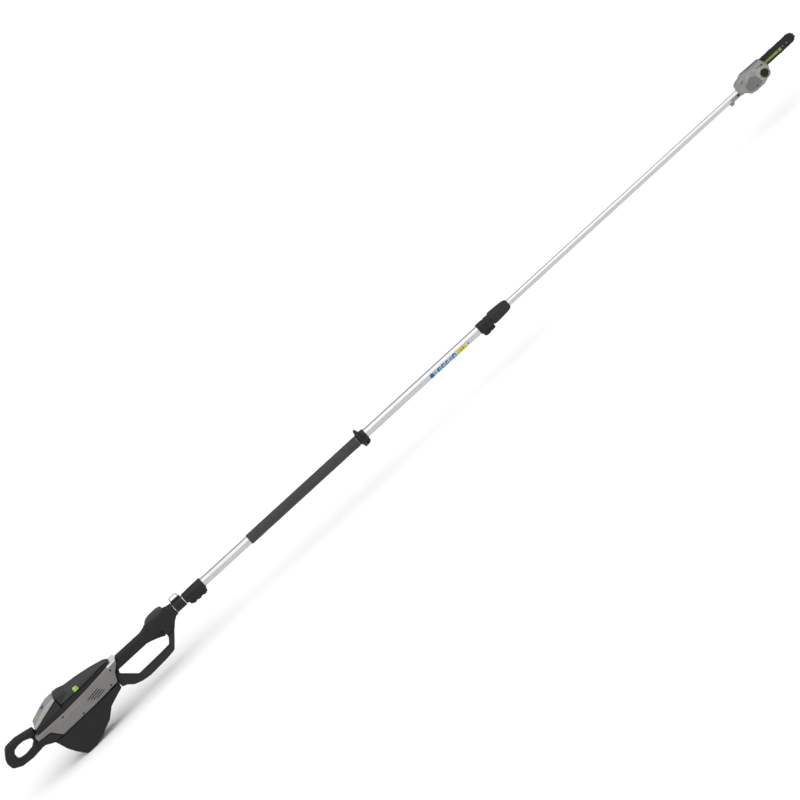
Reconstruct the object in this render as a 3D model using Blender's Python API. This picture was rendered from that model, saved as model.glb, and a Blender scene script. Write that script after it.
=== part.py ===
"""Telescoping pole saw: battery and motor at the rear, a D-shaped handle, a two-piece sliding pole and
a small chain-saw head, driven by a shaft that telescopes inside the pole.

Everything is drawn in millimetres in the pole's own axes: x runs forward along the pole from the front
face of the rear socket, y to the user's left and z up from the pole's axis. One empty carries the whole
object to its place, with the ground foot standing on z = 0.
"""
import math

import bmesh
import bpy
from mathutils import Matrix, Vector

MM = 0.001
GAP = 0.4                       # clearance left between pieces that touch

# Driving dimensions
CHAIN_TIP = 2984.0              # front of the chain round the bar's nose
MIDDLE_X = 997.1                # middle of the overall length, which stands at the origin
AXIS_HEIGHT = 179.0             # pole axis above the foot's pad
HALF_WIDTH = 50.0               # motor housing, from the middle plane
GRIP_HALF_WIDTH = 21.0
WALL = 3.0

OUTER_TUBE = (17.5, 15.7)       # outer and inner radius
INNER_TUBE = (12.5, 10.9)
OUTER_TUBE_SPAN = (-160.0, 1404.0)
INNER_TUBE_SPAN = (1250.0, 2712.0)
DRIVE_TUBE = (8.0, 5.6)
DRIVE_TUBE_SPAN = (-522.0, 1400.0)
SHAFT_RADIUS = 5.0
SHAFT_SPAN = (1290.0, 2733.0)

MOTOR_X = -618.0                # middle of the stator
TRIGGER_PIVOT = (-243.0, 0.0, -19.0)
LEVER_PIVOT = (-184.0, 0.0, 24.0)
BATTERY_SPAN = (-824.0, -693.0)
BUTTON_X = -609.0

BAR_Y = 14.0                    # middle plane of bar, chain and sprocket
BAR_HALF_THICKNESS = 1.9
TAPER_START = -600.0            # the rear unit narrows forward of here
TAPER_END = -430.0
TAPER_STEPS = 12
BAR_Z = 17.7                    # bar's centre line above the pole's axis
BAR_HALF_HEIGHT = 16.0
SPROCKET_X = 2752.0
NOSE_X = CHAIN_TIP - 22.5
COUNTER_X = 2740.0              # countershaft, crossing the pole's axis
CAP_CENTRE = (2803.0, -31.0, -3.0)
CHAIN_PITCH_COUNT = 26


# ---------------------------------------------------------------- outlines

def drawn_in(corners, distance):
    """Move each side of a closed outline of (x, z, radius) corners inwards by distance."""
    points = [Vector((x, z)) for x, z, _ in corners]
    count = len(points)
    area = sum(points[i - 1].cross(points[i]) for i in range(count))
    turn = 1 if area > 0 else -1
    moved = []
    for i, (x, z, radius) in enumerate(corners):
        before = (points[i] - points[i - 1]).normalized()
        after = (points[(i + 1) % count] - points[i]).normalized()
        normal_a = Vector((-before.y, before.x)) * turn
        normal_b = Vector((-after.y, after.x)) * turn
        shift = (normal_a + normal_b) / (1 + normal_a.dot(normal_b)) * distance
        bend = before.cross(after) * turn
        new_radius = max(radius - distance if bend > 0 else radius + distance, 0.2) if radius else 0
        moved.append((x + shift.x, z + shift.y, new_radius))
    return moved


def rounded(corners, steps=3):
    """Outline points (x, z) of (x, z, radius) corners, each radius swept as an arc."""
    outline = []
    count = len(corners)
    for i, (x, z, radius) in enumerate(corners):
        here = Vector((x, z))
        if radius <= 0:
            outline.append(here)
            continue
        back = Vector(corners[i - 1][:2]) - here
        ahead = Vector(corners[(i + 1) % count][:2]) - here
        half = back.angle(ahead) / 2
        reach = min(radius / math.tan(half), 0.47 * min(back.length, ahead.length))
        start = here + back.normalized() * reach
        bisector = (back.normalized() + ahead.normalized()).normalized()
        centre = here + bisector * (reach / math.cos(half))
        sweep = math.pi - 2 * half
        if back.cross(ahead) > 0:
            sweep = -sweep
        for k in range(steps + 1):
            outline.append(centre + Matrix.Rotation(sweep * k / steps, 2) @ (start - centre))
    return outline


def box_corners(x0, x1, z0, z1, radius=0.0):
    return [(x0, z0, radius), (x1, z0, radius), (x1, z1, radius), (x0, z1, radius)]


def disc_corners(x, z, radius, count):
    return [(x + radius * math.cos(math.tau * k / count), z + radius * math.sin(math.tau * k / count), 0)
            for k in range(count)]


def toothed(centre_x, centre_z, teeth, root, tip):
    """Corners of a toothed wheel's outline."""
    corners = []
    for tooth in range(teeth):
        for share, radius in ((0.0, root), (0.3, root), (0.45, tip), (0.75, tip)):
            angle = math.tau * (tooth + share) / teeth
            corners.append((centre_x + radius * math.cos(angle), centre_z + radius * math.sin(angle), 0))
    return corners


# ---------------------------------------------------------------- solids

def bridge(bm, first, second):
    """Faces between two rings of vertices; a ring of one vertex is a point on the axis."""
    count = max(len(first), len(second))
    if count == 1:
        return
    for k in range(count):
        nxt = (k + 1) % count
        if len(first) == 1:
            bm.faces.new((first[0], second[nxt], second[k]))
        elif len(second) == 1:
            bm.faces.new((first[k], first[nxt], second[0]))
        else:
            bm.faces.new((first[k], first[nxt], second[nxt], second[k]))


AXIS_TURNS = {
    "X": Matrix.Identity(4),
    "Y": Matrix.Rotation(math.pi / 2, 4, "Z"),
    "Z": Matrix.Rotation(-math.pi / 2, 4, "Y"),
}


def turned(profile, centre=(0, 0, 0), axis="X", sides=20):
    """Solid of revolution: a closed (distance along the axis, radius) profile."""
    bm = bmesh.new()
    rings = []
    for along, radius in profile:
        if radius < 1e-6:
            rings.append([bm.verts.new((along, 0, 0))])
            continue
        angles = [math.tau * (k + 0.5) / sides for k in range(sides)]
        rings.append([bm.verts.new((along, radius * math.cos(a), radius * math.sin(a))) for a in angles])
    for first, second in zip(rings, rings[1:] + rings[:1]):
        bridge(bm, first, second)
    bm.transform(Matrix.Translation(centre) @ AXIS_TURNS[axis])
    return bm


def pipe(x0, x1, outer, inner, centre=(0, 0, 0), axis="X", sides=20):
    return turned([(x0, inner), (x0, outer), (x1, outer), (x1, inner)], centre, axis, sides)


def rod(x0, x1, radius, centre=(0, 0, 0), axis="X", sides=16):
    return turned([(x0, 0), (x0, radius), (x1, radius), (x1, 0)], centre, axis, sides)


def slab(corners, layers, taper=None, steps=2):
    """Solid lofted along y: at each (y, inset) layer the outline is drawn in by inset."""
    bm = bmesh.new()
    rings = []
    for y, inset in layers:
        outline = rounded(drawn_in(corners, inset), steps)
        rings.append([bm.verts.new((p.x, y, p.y)) for p in outline])
    for first, second in zip(rings, rings[1:]):
        bridge(bm, first, second)
    caps = [bm.faces.new(rings[0]), bm.faces.new(rings[-1])]
    bm.normal_update()
    bmesh.ops.triangulate(bm, faces=caps, ngon_method="EAR_CLIP")
    if taper:
        narrow(bm, taper)
    return bm


def narrow(bm, taper):
    """Pull the sides in along x. Cuts across the solid come first, so that its faces follow the curve."""
    for k in range(TAPER_STEPS + 1):
        x = TAPER_START + (TAPER_END - TAPER_START) * k / TAPER_STEPS
        bmesh.ops.bisect_plane(bm, geom=bm.verts[:] + bm.edges[:] + bm.faces[:], dist=1e-4,
                               plane_co=(x, 0, 0), plane_no=(1, 0, 0))
    for vert in bm.verts:
        vert.co.y *= taper(vert.co.x)
    bmesh.ops.triangulate(bm, faces=bm.faces)


def block(x0, x1, y0, y1, z0, z1):
    return slab(box_corners(x0, x1, z0, z1), [(y0, 0), (y1, 0)])


def wire(path, radius, sides=10):
    """Round bar along a list of points, with flat ends."""
    bm = bmesh.new()
    rings = []
    for i, point in enumerate(path):
        along = (path[min(i + 1, len(path) - 1)] - path[max(i - 1, 0)]).normalized()
        across = Vector((0, 1, 0))
        up = along.cross(across).normalized()
        ring = []
        for k in range(sides):
            angle = math.tau * k / sides
            ring.append(bm.verts.new(point + radius * (across * math.cos(angle) + up * math.sin(angle))))
        rings.append(ring)
    for first, second in zip(rings, rings[1:]):
        bridge(bm, first, second)
    bm.faces.new(rings[0])
    bm.faces.new(rings[-1])
    return bm


# ---------------------------------------------------------------- objects

MATERIALS = {
    "black_plastic": ((0.024, 0.024, 0.025), 0.55, 0.0),
    "charcoal_plastic": ((0.055, 0.055, 0.058), 0.5, 0.0),
    "grey_plastic": ((0.19, 0.183, 0.172), 0.5, 0.0),
    "head_grey": ((0.23, 0.225, 0.215), 0.45, 0.0),
    "silver_plastic": ((0.38, 0.39, 0.38), 0.4, 0.2),
    "lime_plastic": ((0.3, 0.5, 0.05), 0.4, 0.0),
    "aluminium": ((0.8, 0.8, 0.81), 0.3, 1.0),
    "foam": ((0.07, 0.07, 0.07), 0.9, 0.0),
    "steel": ((0.5, 0.5, 0.52), 0.35, 1.0),
    "black_steel": ((0.05, 0.05, 0.055), 0.4, 0.8),
    "copper_windings": ((0.6, 0.28, 0.12), 0.4, 0.6),
    "circuit_board": ((0.03, 0.12, 0.06), 0.5, 0.0),
    "tank_plastic": ((0.32, 0.34, 0.2), 0.35, 0.0),
}


def material(name):
    found = bpy.data.materials.get(name)
    if found:
        return found
    colour, roughness, metallic = MATERIALS[name]
    made = bpy.data.materials.new(name)
    made.use_nodes = True
    shader = made.node_tree.nodes["Principled BSDF"]
    shader.inputs["Base Color"].default_value = (*colour, 1)
    shader.inputs["Roughness"].default_value = roughness
    shader.inputs["Metallic"].default_value = metallic
    return made


def add(name, bm, slot, pivot=(0, 0, 0)):
    """Object from a mesh drawn in the pole's axes; pivot is its origin, on its joint's axis."""
    bmesh.ops.recalc_face_normals(bm, faces=bm.faces)
    bm.transform(Matrix.Scale(MM, 4) @ Matrix.Translation(-Vector(pivot)))
    mesh = bpy.data.meshes.new(name)
    bm.to_mesh(mesh)
    bm.free()
    mesh.shade_smooth()
    mesh.set_sharp_from_angle(angle=math.radians(35))
    obj = bpy.data.objects.new(name, mesh)
    obj.location = Vector(pivot) * MM
    bpy.context.scene.collection.objects.link(obj)
    obj.parent = bpy.data.objects["pole_axis"]
    if slot:
        mesh.materials.append(material(slot))
    return obj


def shape(obj, bm, operation, solver="EXACT"):
    """Cut a mesh out of an object, or join it on, with a hidden tool body."""
    tool = add(f"{obj.name}_{operation.lower()}_{len(obj.modifiers)}", bm, None)
    tool.hide_render = True
    tool.display_type = "WIRE"
    step = obj.modifiers.new(tool.name, "BOOLEAN")
    step.operation = operation
    step.object = tool
    step.solver = solver


def cut(obj, bm):
    shape(obj, bm, "DIFFERENCE")


def carve(obj, bm):
    """Cut with the manifold solver, where the exact one leaves gaps."""
    shape(obj, bm, "DIFFERENCE", "MANIFOLD")


def join(obj, bm):
    shape(obj, bm, "UNION")


def mirrored(layers, side):
    return [(y * side, inset) for y, inset in layers]


SIDES = {"right": -1, "left": 1}


# ---------------------------------------------------------------- rear unit

# Side outlines as (x, z, corner radius).
HOUSING = [
    (-843, 5.5, 3), (-697, 5, 30), (-549, 14, 30), (-427, 22, 4), (-436, 5, 10), (-463, -18, 14),
    (-480, -51, 4), (-600, -55.5, 40), (-757, -58.5, 3), (-788, -19, 12), (-843, -14, 3),
]
VENTS = [(-578, -18, 53), (-571, -25, 53), (-563, -32, 50), (-556, -39, 44)]    # x, z, length
VENT_SLOPE = 0.15
DOCK = [(-826, 5.9, 3), (-697, 5.4, 30), (-549, 14.4, 30), (-452, 21.4, 1), (-462, 30, 3),
        (-687, 30, 3), (-692, 22, 3), (-826, 20, 3)]
COVER = [(-690, 30.5, 2), (-457, 30.5, 1), (-472, 37, 12), (-520, 46, 30), (-594, 55, 30),
         (-640, 60, 20), (-668, 69.5, 14), (-690, 70.5, 4)]
LOOP = [(-829, 31, 5), (-905, 46, 40), (-955, 43, 26), (-976, 17, 26), (-988, -2, 24), (-985, -34, 18),
        (-950, -52, 30), (-900, -56, 30), (-850, -51, 10), (-844.5, -47, 3), (-844.5, 8.5, 2), (-829, 8.5, 2)]
LOOP_HOLE = [(-857, 7, 8), (-884, 19, 20), (-910, 20, 20), (-931, 15, 14), (-943, 2, 14),
             (-946, -28, 14), (-915, -32, 24), (-880, -28, 18), (-857, -10, 10)]
FOOT = [(-801, -59.5, 2), (-785, -112, 20), (-768, -144, 20), (-743, -179, 14), (-700, -179, 30),
        (-642, -159, 30), (-597, -139, 24), (-558, -105, 16), (-512, -88, 16), (-484, -78, 3),
        (-483, -55, 1), (-600, -56.6, 40), (-757, -59.5, 3)]
GRIP = [(-426.4, 17, 2), (-300, 17, 20), (-279, 23, 8), (-269, 28, 2), (-171, 28, 4), (-163, 24, 6),
        (-143, 21.5, 2), (-143, -21.5, 2), (-156, -23, 8), (-172, -34, 8), (-193, -55, 2), (-230, -55, 2),
        (-234, -24.5, 3), (-466, -25.6, 1), (-435, 5, 8)]
GRIP_CAVITY = [(-427, 13, 3), (-168, 13, 3), (-168, -15, 4), (-188, -36, 4), (-200, -51, 4),
               (-224, -51, 4), (-226, -21, 3), (-430, -21, 3)]
GUARD = [(-446, -26.1, 2), (-458, -44, 12), (-404, -97, 14), (-292, -94, 12), (-250, -91.5, 12),
         (-233, -70, 10), (-229.5, -55.5, 1), (-193.5, -55.5, 1), (-231, -99, 20), (-248, -117, 14),
         (-290, -123, 20), (-375, -127.5, 30), (-412, -122.5, 20), (-442, -112, 20), (-464, -93, 14),
         (-482, -86, 3), (-482, -53.4, 0), (-478.4, -51.8, 0), (-466, -26.1, 2)]
BATTERY_CASE = [(BATTERY_SPAN[0] + 3, 11, 4), (BATTERY_SPAN[1], 11, 4), (BATTERY_SPAN[1], 59, 2),
                (BATTERY_SPAN[0] + 3, 22, 3)]
BATTERY_LID = [(BATTERY_SPAN[0], 21.6, 3), (BATTERY_SPAN[1], 59.8, 2), (BATTERY_SPAN[1], 71, 6),
               (-727, 69, 20), (-757, 61, 30), (-816, 38, 10)]


def narrowing(start, end, share):
    """Width factor: full behind start, falling smoothly to share at end."""
    def width(x):
        t = min(max((x - start) / (end - start), 0), 1)
        return 1 - (1 - share) * t * t * (3 - 2 * t)
    return width


def housing():
    taper = narrowing(-600, -430, 0.78)
    for side, sign in SIDES.items():
        half = add(f"housing_{side}", slab(HOUSING, mirrored(
            [(0.15, 0), (HALF_WIDTH - 6, 0), (HALF_WIDTH, 5)], sign), taper),
            "grey_plastic")
        carve(half, slab(drawn_in(HOUSING, WALL), mirrored(
            [(-5, 0), (HALF_WIDTH - 11, 0), (HALF_WIDTH - WALL, 6)], sign), taper))
        carve(half, slab(box_corners(-683, -501, -12, 60), mirrored([(-7, 0), (37, 0)], sign)))
        carve(half, rod(-470, -420, 12))
        for slot_x, slot_z, length in VENTS:
            rear, front = slot_x - length / 2, slot_x + length / 2
            rise = VENT_SLOPE * length / 2
            vent = [(rear, slot_z - rise - 1.7, 0), (front, slot_z + rise - 1.7, 0),
                    (front, slot_z + rise + 1.7, 0), (rear, slot_z - rise + 1.7, 0)]
            carve(half, slab(vent, mirrored([(36, 0), (60, 0)], sign)))


def dock():
    taper = narrowing(-600, -440, 0.55)
    frame = add("battery_dock", slab(DOCK, [(-46, 1.5), (-44, 0), (44, 0), (46, 1.5)], taper), "black_plastic")
    cut(frame, slab(box_corners(-822.5, -692, 9.5, 60), [(-42.4, 0), (42.4, 0)]))
    cut(frame, slab(box_corners(-682, -500, -20, 60, 3), [(-42, 0), (42, 0)], taper))
    cut(frame, block(-770, -720, -24, 24, 0, 20))
    add("terminal_block", block(-765, -725, -20, 20, 5.8, 9.8), "black_plastic")


def cover():
    taper = narrowing(-600, -450, 0.5)
    shell = add("top_cover", slab(COVER, [(-46, 3), (-42, 0), (42, 0), (46, 3)], taper),
                "charcoal_plastic")
    lid = drawn_in(COVER, WALL)
    cut(shell, slab([(-687, 20, 0), (-487, 20, 0)] + lid[3:], [(-43, 2), (-40, 0), (40, 0), (43, 2)], taper))
    button = [(BUTTON_X - 11, 34, 3), (BUTTON_X + 11, 34, 3), (BUTTON_X + 11, 48, 4), (BUTTON_X + 5, 53, 3),
              (BUTTON_X - 5, 53, 3), (BUTTON_X - 11, 48, 4)]
    cut(shell, slab(drawn_in(button, -GAP), [(-60, 0), (-30, 0)]))
    add("release_button", slab(button, [(-49, 3), (-48, 1), (-46, 0), (-36, 0)]), "lime_plastic",
        (BUTTON_X, -45, 43))


def rear_loop():
    loop = add("rear_loop", slab(LOOP, [(-20, 5), (-15, 0), (15, 0), (20, 5)]),
               "black_plastic")
    cut(loop, slab(LOOP_HOLE, [(-21, -6), (-15, 0), (15, 0), (21, -6)]))
    join(loop, slab([(-856, -39, 6), (-832, -42, 12), (-801, -58.5, 2), (-758, -59, 1), (-789.2, -20, 12),
                     (-843.6, -15.2, 2), (-850, -21, 6)], [(-49, 3), (-46, 0), (46, 0), (49, 3)]))


def foot():
    shell = add("ground_foot", slab(FOOT, [(-42, 5), (-37, 0), (37, 0), (42, 5)]),
                "black_plastic")
    inner = drawn_in(FOOT, WALL)
    mouth = [(-495, -50, 0), (-790, -50, 0)]
    cut(shell, slab(inner[:-3] + mouth, [(-39, 3), (-36, 0), (36, 0), (39, 3)]))


def grip():
    layers = [(0.15, 0), (13, 0), (GRIP_HALF_WIDTH, 4.5)]
    for side, sign in SIDES.items():
        half = add(f"grip_{side}", slab(GRIP, mirrored(layers, sign)), "black_plastic")
        carve(half, slab(GRIP_CAVITY, mirrored([(-3, 0), (12, 0), (15, 3)], sign)))
        carve(half, rod(-470, -150, 11))
        carve(half, rod(-161, -130, OUTER_TUBE[0] + GAP / 2, sides=28))
        carve(half, slab(box_corners(-268.5, -174, 18, 40), mirrored([(-3, 0), (15.5, 0)], sign)))
        carve(half, slab(box_corners(-313, -235.2, -40, -15.5), mirrored([(-3, 0), (8.4, 0)], sign)))
    add("hand_guard", slab(GUARD, [(-15, 5), (-10, 0), (10, 0), (15, 5)]),
        "black_plastic")


def triggers():
    blade = [(-311, -22, 2), (-240, -17, 3), (-236.5, -21, 2), (-236, -27, 2), (-231.4, -57, 4), (-257, -44, 14),
             (-285, -33.5, 20), (-311, -26.5, 2)]
    add("trigger", slab(blade, [(-7.8, 2), (-6, 0), (6, 0), (7.8, 2)]), "black_plastic", TRIGGER_PIVOT)
    add("trigger_switch", block(-300, -262, -6, 6, -14.5, -11.4), "black_steel")
    lever = [(-262, 26.5, 2), (-210, 21.5, 10), (-178, 19.5, 3), (-176, 41, 8), (-196, 46.5, 14),
             (-235, 45.5, 20), (-252, 41, 10), (-266, 31, 5)]
    add("lock_off_lever", slab(lever, [(-14.8, 3), (-12, 0), (12, 0), (14.8, 3)]),
        "charcoal_plastic", LEVER_PIVOT)


def battery():
    add("battery_case", slab(BATTERY_CASE, [(-41.5, 3), (-39, 0), (39, 0), (41.5, 3)]), "black_plastic")
    add("battery_lid", slab(BATTERY_LID, [(-42, 3.5), (-38, 0), (38, 0), (42, 3.5)]), "silver_plastic")


def motor():
    stator = [(-24, 22), (-24, 36), (24, 36), (24, 22)]
    add("motor_stator", turned(stator, (MOTOR_X, 0, 0)), "copper_windings")
    add("motor_rotor", turned([(-34, 0), (-34, 5), (-26, 5), (-26, 21), (26, 21), (26, 5), (94, 5), (94, 0)],
                              (MOTOR_X, 0, 0)), "steel")
    fan = turned([(33, 5.3), (33, 34), (36, 35), (44, 20), (47, 9), (47, 5.3)], (MOTOR_X, 0, 0))
    add("cooling_fan", fan, "black_plastic")
    add("rear_bearing", pipe(-34, -27, 13, 5.3, (MOTOR_X, 0, 0)), "steel")
    add("front_bearing", pipe(54, 61, 13, 5.3, (MOTOR_X, 0, 0)), "steel")
    add("motor_bracket", turned([(50, 13.3), (50, 34), (53, 34), (53, 17), (61, 17), (61, 13.3)],
                                (MOTOR_X, 0, 0)), "aluminium")
    add("bearing_plate", turned([(-36, 13.3), (-36, 34), (-30, 34), (-30, 13.3)], (MOTOR_X, 0, 0)), "aluminium")
    add("controller_board", block(-748, -662, -34, 34, -40, -37.6), "circuit_board")
    add("drive_tube", turned([(DRIVE_TUBE_SPAN[0], DRIVE_TUBE[1]), (DRIVE_TUBE_SPAN[0], DRIVE_TUBE[0]),
                              (DRIVE_TUBE_SPAN[1], DRIVE_TUBE[0]), (DRIVE_TUBE_SPAN[1], DRIVE_TUBE[1])],
                             sides=24), "steel")


def pole():
    add("outer_tube", pipe(*OUTER_TUBE_SPAN, *OUTER_TUBE, sides=32), "aluminium")
    add("inner_tube", pipe(*INNER_TUBE_SPAN, *INNER_TUBE, sides=28), "aluminium")
    add("guide_bush", pipe(1252, 1292, OUTER_TUBE[1] - GAP, INNER_TUBE[0] + 0.3, sides=20), "black_plastic")
    add("drive_tube_bush", pipe(1384, 1399, INNER_TUBE[1] - GAP, DRIVE_TUBE[0] + 0.3, sides=24), "black_plastic")
    add("inner_shaft", rod(*SHAFT_SPAN, SHAFT_RADIUS, sides=12), "steel")


def grips_on_pole():
    bore = OUTER_TUBE[0] + 0.3
    band = add("harness_bracket", pipe(-141.5, -97, 21.8, bore), "black_plastic")
    join(band, block(-141, -97.5, -7, 7, 19, 27))
    for x in (-136.5, -102):
        cut(band, rod(22, 40, 3, (x, 0, 0), "Z", 12))
    arch = rounded([(-136.5, 22.6, 0), (-136.5, 42.5, 9), (-102, 42.5, 9), (-102, 22.6, 0)], 5)
    add("harness_loop", wire([Vector((p.x, 0, p.y)) for p in arch], 2.4), "steel")

    socket = add("front_socket", turned([(-94, bore), (-94, 19.5), (-90, 21), (-60, 22.3), (-4, 23), (-1, 21),
                                         (-1, bore)]), "black_plastic")
    lobes = [(-88, -12, 2), (-84, -30, 8), (-68, -37, 9), (-58, -33, 6), (-46, -38, 9), (-33, -33.5, 6),
             (-20, -38, 9), (-6, -32, 8), (-3, -12, 2)]
    join(socket, slab(lobes, [(-13, 3), (-10, 0), (10, 0), (13, 3)]))
    cut(socket, rod(-100, 5, bore, sides=20))
    cut(socket, rod(-20, 20, 3, (-45, 0, -27), "Y", 16))
    cut(socket, rod(-14, -9, 5, (-45, 0, -27), "Y", 16))
    add("socket_bolt", turned([(-12.5, 0), (-12.5, 4.5), (-9.3, 4.5), (-9.3, 2.6), (12, 2.6), (12, 0)],
                              (-45, 0, -27), "Y", 16), "black_steel")

    add("foam_grip", turned([(232, bore), (232, 19.5), (235, 21), (772, 21), (775, 19.5), (775, bore)],
                            sides=28), "foam")
    stop = add("hand_stop", turned([(776, bore), (776, 21), (781, 24), (784, 36), (787, 39), (792, 39),
                                    (795, 35), (798, 25), (802, 23), (813, 22), (816, 20), (816, bore)],
                                   sides=28), "black_plastic")
    join(stop, slab([(791, -12, 1), (791, -34, 3), (795, -38, 3), (808, -36, 5), (815, -28, 5),
                     (815, -12, 1)], [(-9, 2), (-7, 0), (7, 0), (9, 2)]))
    cut(stop, rod(780, 820, bore, sides=28))


def pole_lock():
    bore = OUTER_TUBE[0] + 0.3
    collar = add("lock_collar", turned([(1382, bore), (1382, 20.5), (1386, 22), (1412, 22), (1414, 20.5),
                                        (1418, 20.5), (1420, 22), (1443, 22), (1443, bore)], sides=28),
                 "black_plastic")
    join(collar, slab([(1387, -12, 1), (1387, -32, 5), (1396, -37, 5), (1413, -37, 4), (1416, -33, 3),
                       (1421, -36, 4), (1438, -34, 5), (1441, -12, 1)], [(-9, 3), (-6, 0), (6, 0), (9, 3)]))
    cut(collar, rod(1370, 1450, bore, sides=28))
    cut(collar, rod(-20, 20, 2.8, (1402, 0, -28), "Y", 16))
    add("lock_collar_bolt", rod(-8.6, 8.6, 2.4, (1402, 0, -28), "Y", 16), "black_steel")
    nut = [(1443.6, 20), (1443.6, 24.5), (1448, 26), (1470, 25.3), (1504, 23.5), (1518, 21.5), (1527, 17.5),
           (1530, 13.2), (1478, 13.2), (1462, 17.9), (1450, 18.2)]
    body = add("lock_nut", turned(nut, sides=28), "black_plastic")
    for k in range(8):
        angle = math.tau * k / 8
        cut(body, rod(1452, 1506, 2.6, (0, 27 * math.cos(angle), 27 * math.sin(angle)), sides=6))
    add("lock_collet", turned([(1405, 12.9), (1405, 17.4), (1459, 17.4), (1474, 14.2), (1474, 12.9)], sides=20),
        "black_plastic")


# ---------------------------------------------------------------- saw head

CASE = [(2683, 12, 6), (2686, 29, 12), (2700, 37, 16), (2729, 43, 20), (2773, 39, 24), (2822, 40, 6),
        (2831, 20, 10), (2832, 2, 8), (2818, -13, 10), (2798, -29, 12), (2780, -36, 12), (2736, -36, 14),
        (2716, -31, 10), (2706, -18, 6), (2698, -12, 6), (2683, -12, 6)]
BAR_COVER = [(2708, 14, 10), (2714, 34, 18), (2735, 42, 16), (2822, 39.5, 6), (2828, 20, 10), (2826, -2, 8),
             (2806, -22, 14), (2770, -30, 14), (2736, -30, 14), (2716, -18, 14)]


def track(distance, offset):
    """Point (x, z) on the chain's closed path: offset outwards from the bar's rail."""
    straight = NOSE_X - SPROCKET_X
    radius = BAR_HALF_HEIGHT
    arc = math.pi * radius
    distance %= 2 * (straight + arc)
    if distance < straight:
        return SPROCKET_X + distance, BAR_Z + radius + offset
    if distance < straight + arc:
        angle = math.pi / 2 - (distance - straight) / radius
        return NOSE_X + (radius + offset) * math.cos(angle), BAR_Z + (radius + offset) * math.sin(angle)
    if distance < 2 * straight + arc:
        return NOSE_X - (distance - straight - arc), BAR_Z - radius - offset
    angle = -math.pi / 2 - (distance - 2 * straight - arc) / radius
    return SPROCKET_X + (radius + offset) * math.cos(angle), BAR_Z + (radius + offset) * math.sin(angle)


def gear_case():
    case = add("gear_case", slab(CASE, [(-4.6, 0), (10.4, 0)]), "head_grey")
    join(case, rod(2642, 2704, 16.2))
    join(case, slab([(2630, -10, 2), (2632, -24, 3), (2645, -24, 3), (2656, -10, 2)], [(-6, 0), (6, 0)]))
    join(case, block(2774, 2812, 8, BAR_Y - BAR_HALF_THICKNESS - 0.1, 8, 27.4))
    cut(case, rod(2620, 2713, INNER_TUBE[0] + 0.3, sides=24))
    cut(case, slab([(2620, 3, 0), (2682.5, 3, 0), (2682.5, 40, 0), (2620, 40, 0)], [(-20, 0), (20, 0)]))
    cut(case, slab(box_corners(2715, 2768, -24, 34, 8), [(-10, 0), (8.9, 0)]))
    cut(case, rod(2705, 2725, 6, sides=12))
    cut(case, rod(-20, -11, 5.4, (2676, 0, -3.5), "Y", 16))
    cut(case, rod(6, 12, 6.4, (SPROCKET_X, 0, BAR_Z), "Y", 20))
    cut(case, rod(2770, 2840, 2.6, (0, 2.3, 3.2), sides=12))
    cut(case, block(2776, 2792, 2, 14, 1.2, 7))
    cut(case, rod(-10, 20, 3.3, (2800, 0, BAR_Z), "Y", 16))
    add("clamp_bolt", turned([(-15.6, 0), (-15.6, 5), (-12.9, 5), (-12.9, 0)], (2676, 0, -3.5), "Y", 16),
        "black_steel")
    shell = add("head_cover", slab(CASE, [(-32, 7), (-24, 0), (-5, 0)]), "head_grey")
    cut(shell, slab(drawn_in(CASE, WALL), [(-28.5, 4.5), (-22.5, 0), (-4, 0)]))
    cut(shell, rod(2620, 2720, 17, sides=20))
    cut(shell, rod(-40, -20, 16, CAP_CENTRE[:1] + (0,) + CAP_CENTRE[2:], "Y", 28))


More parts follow.
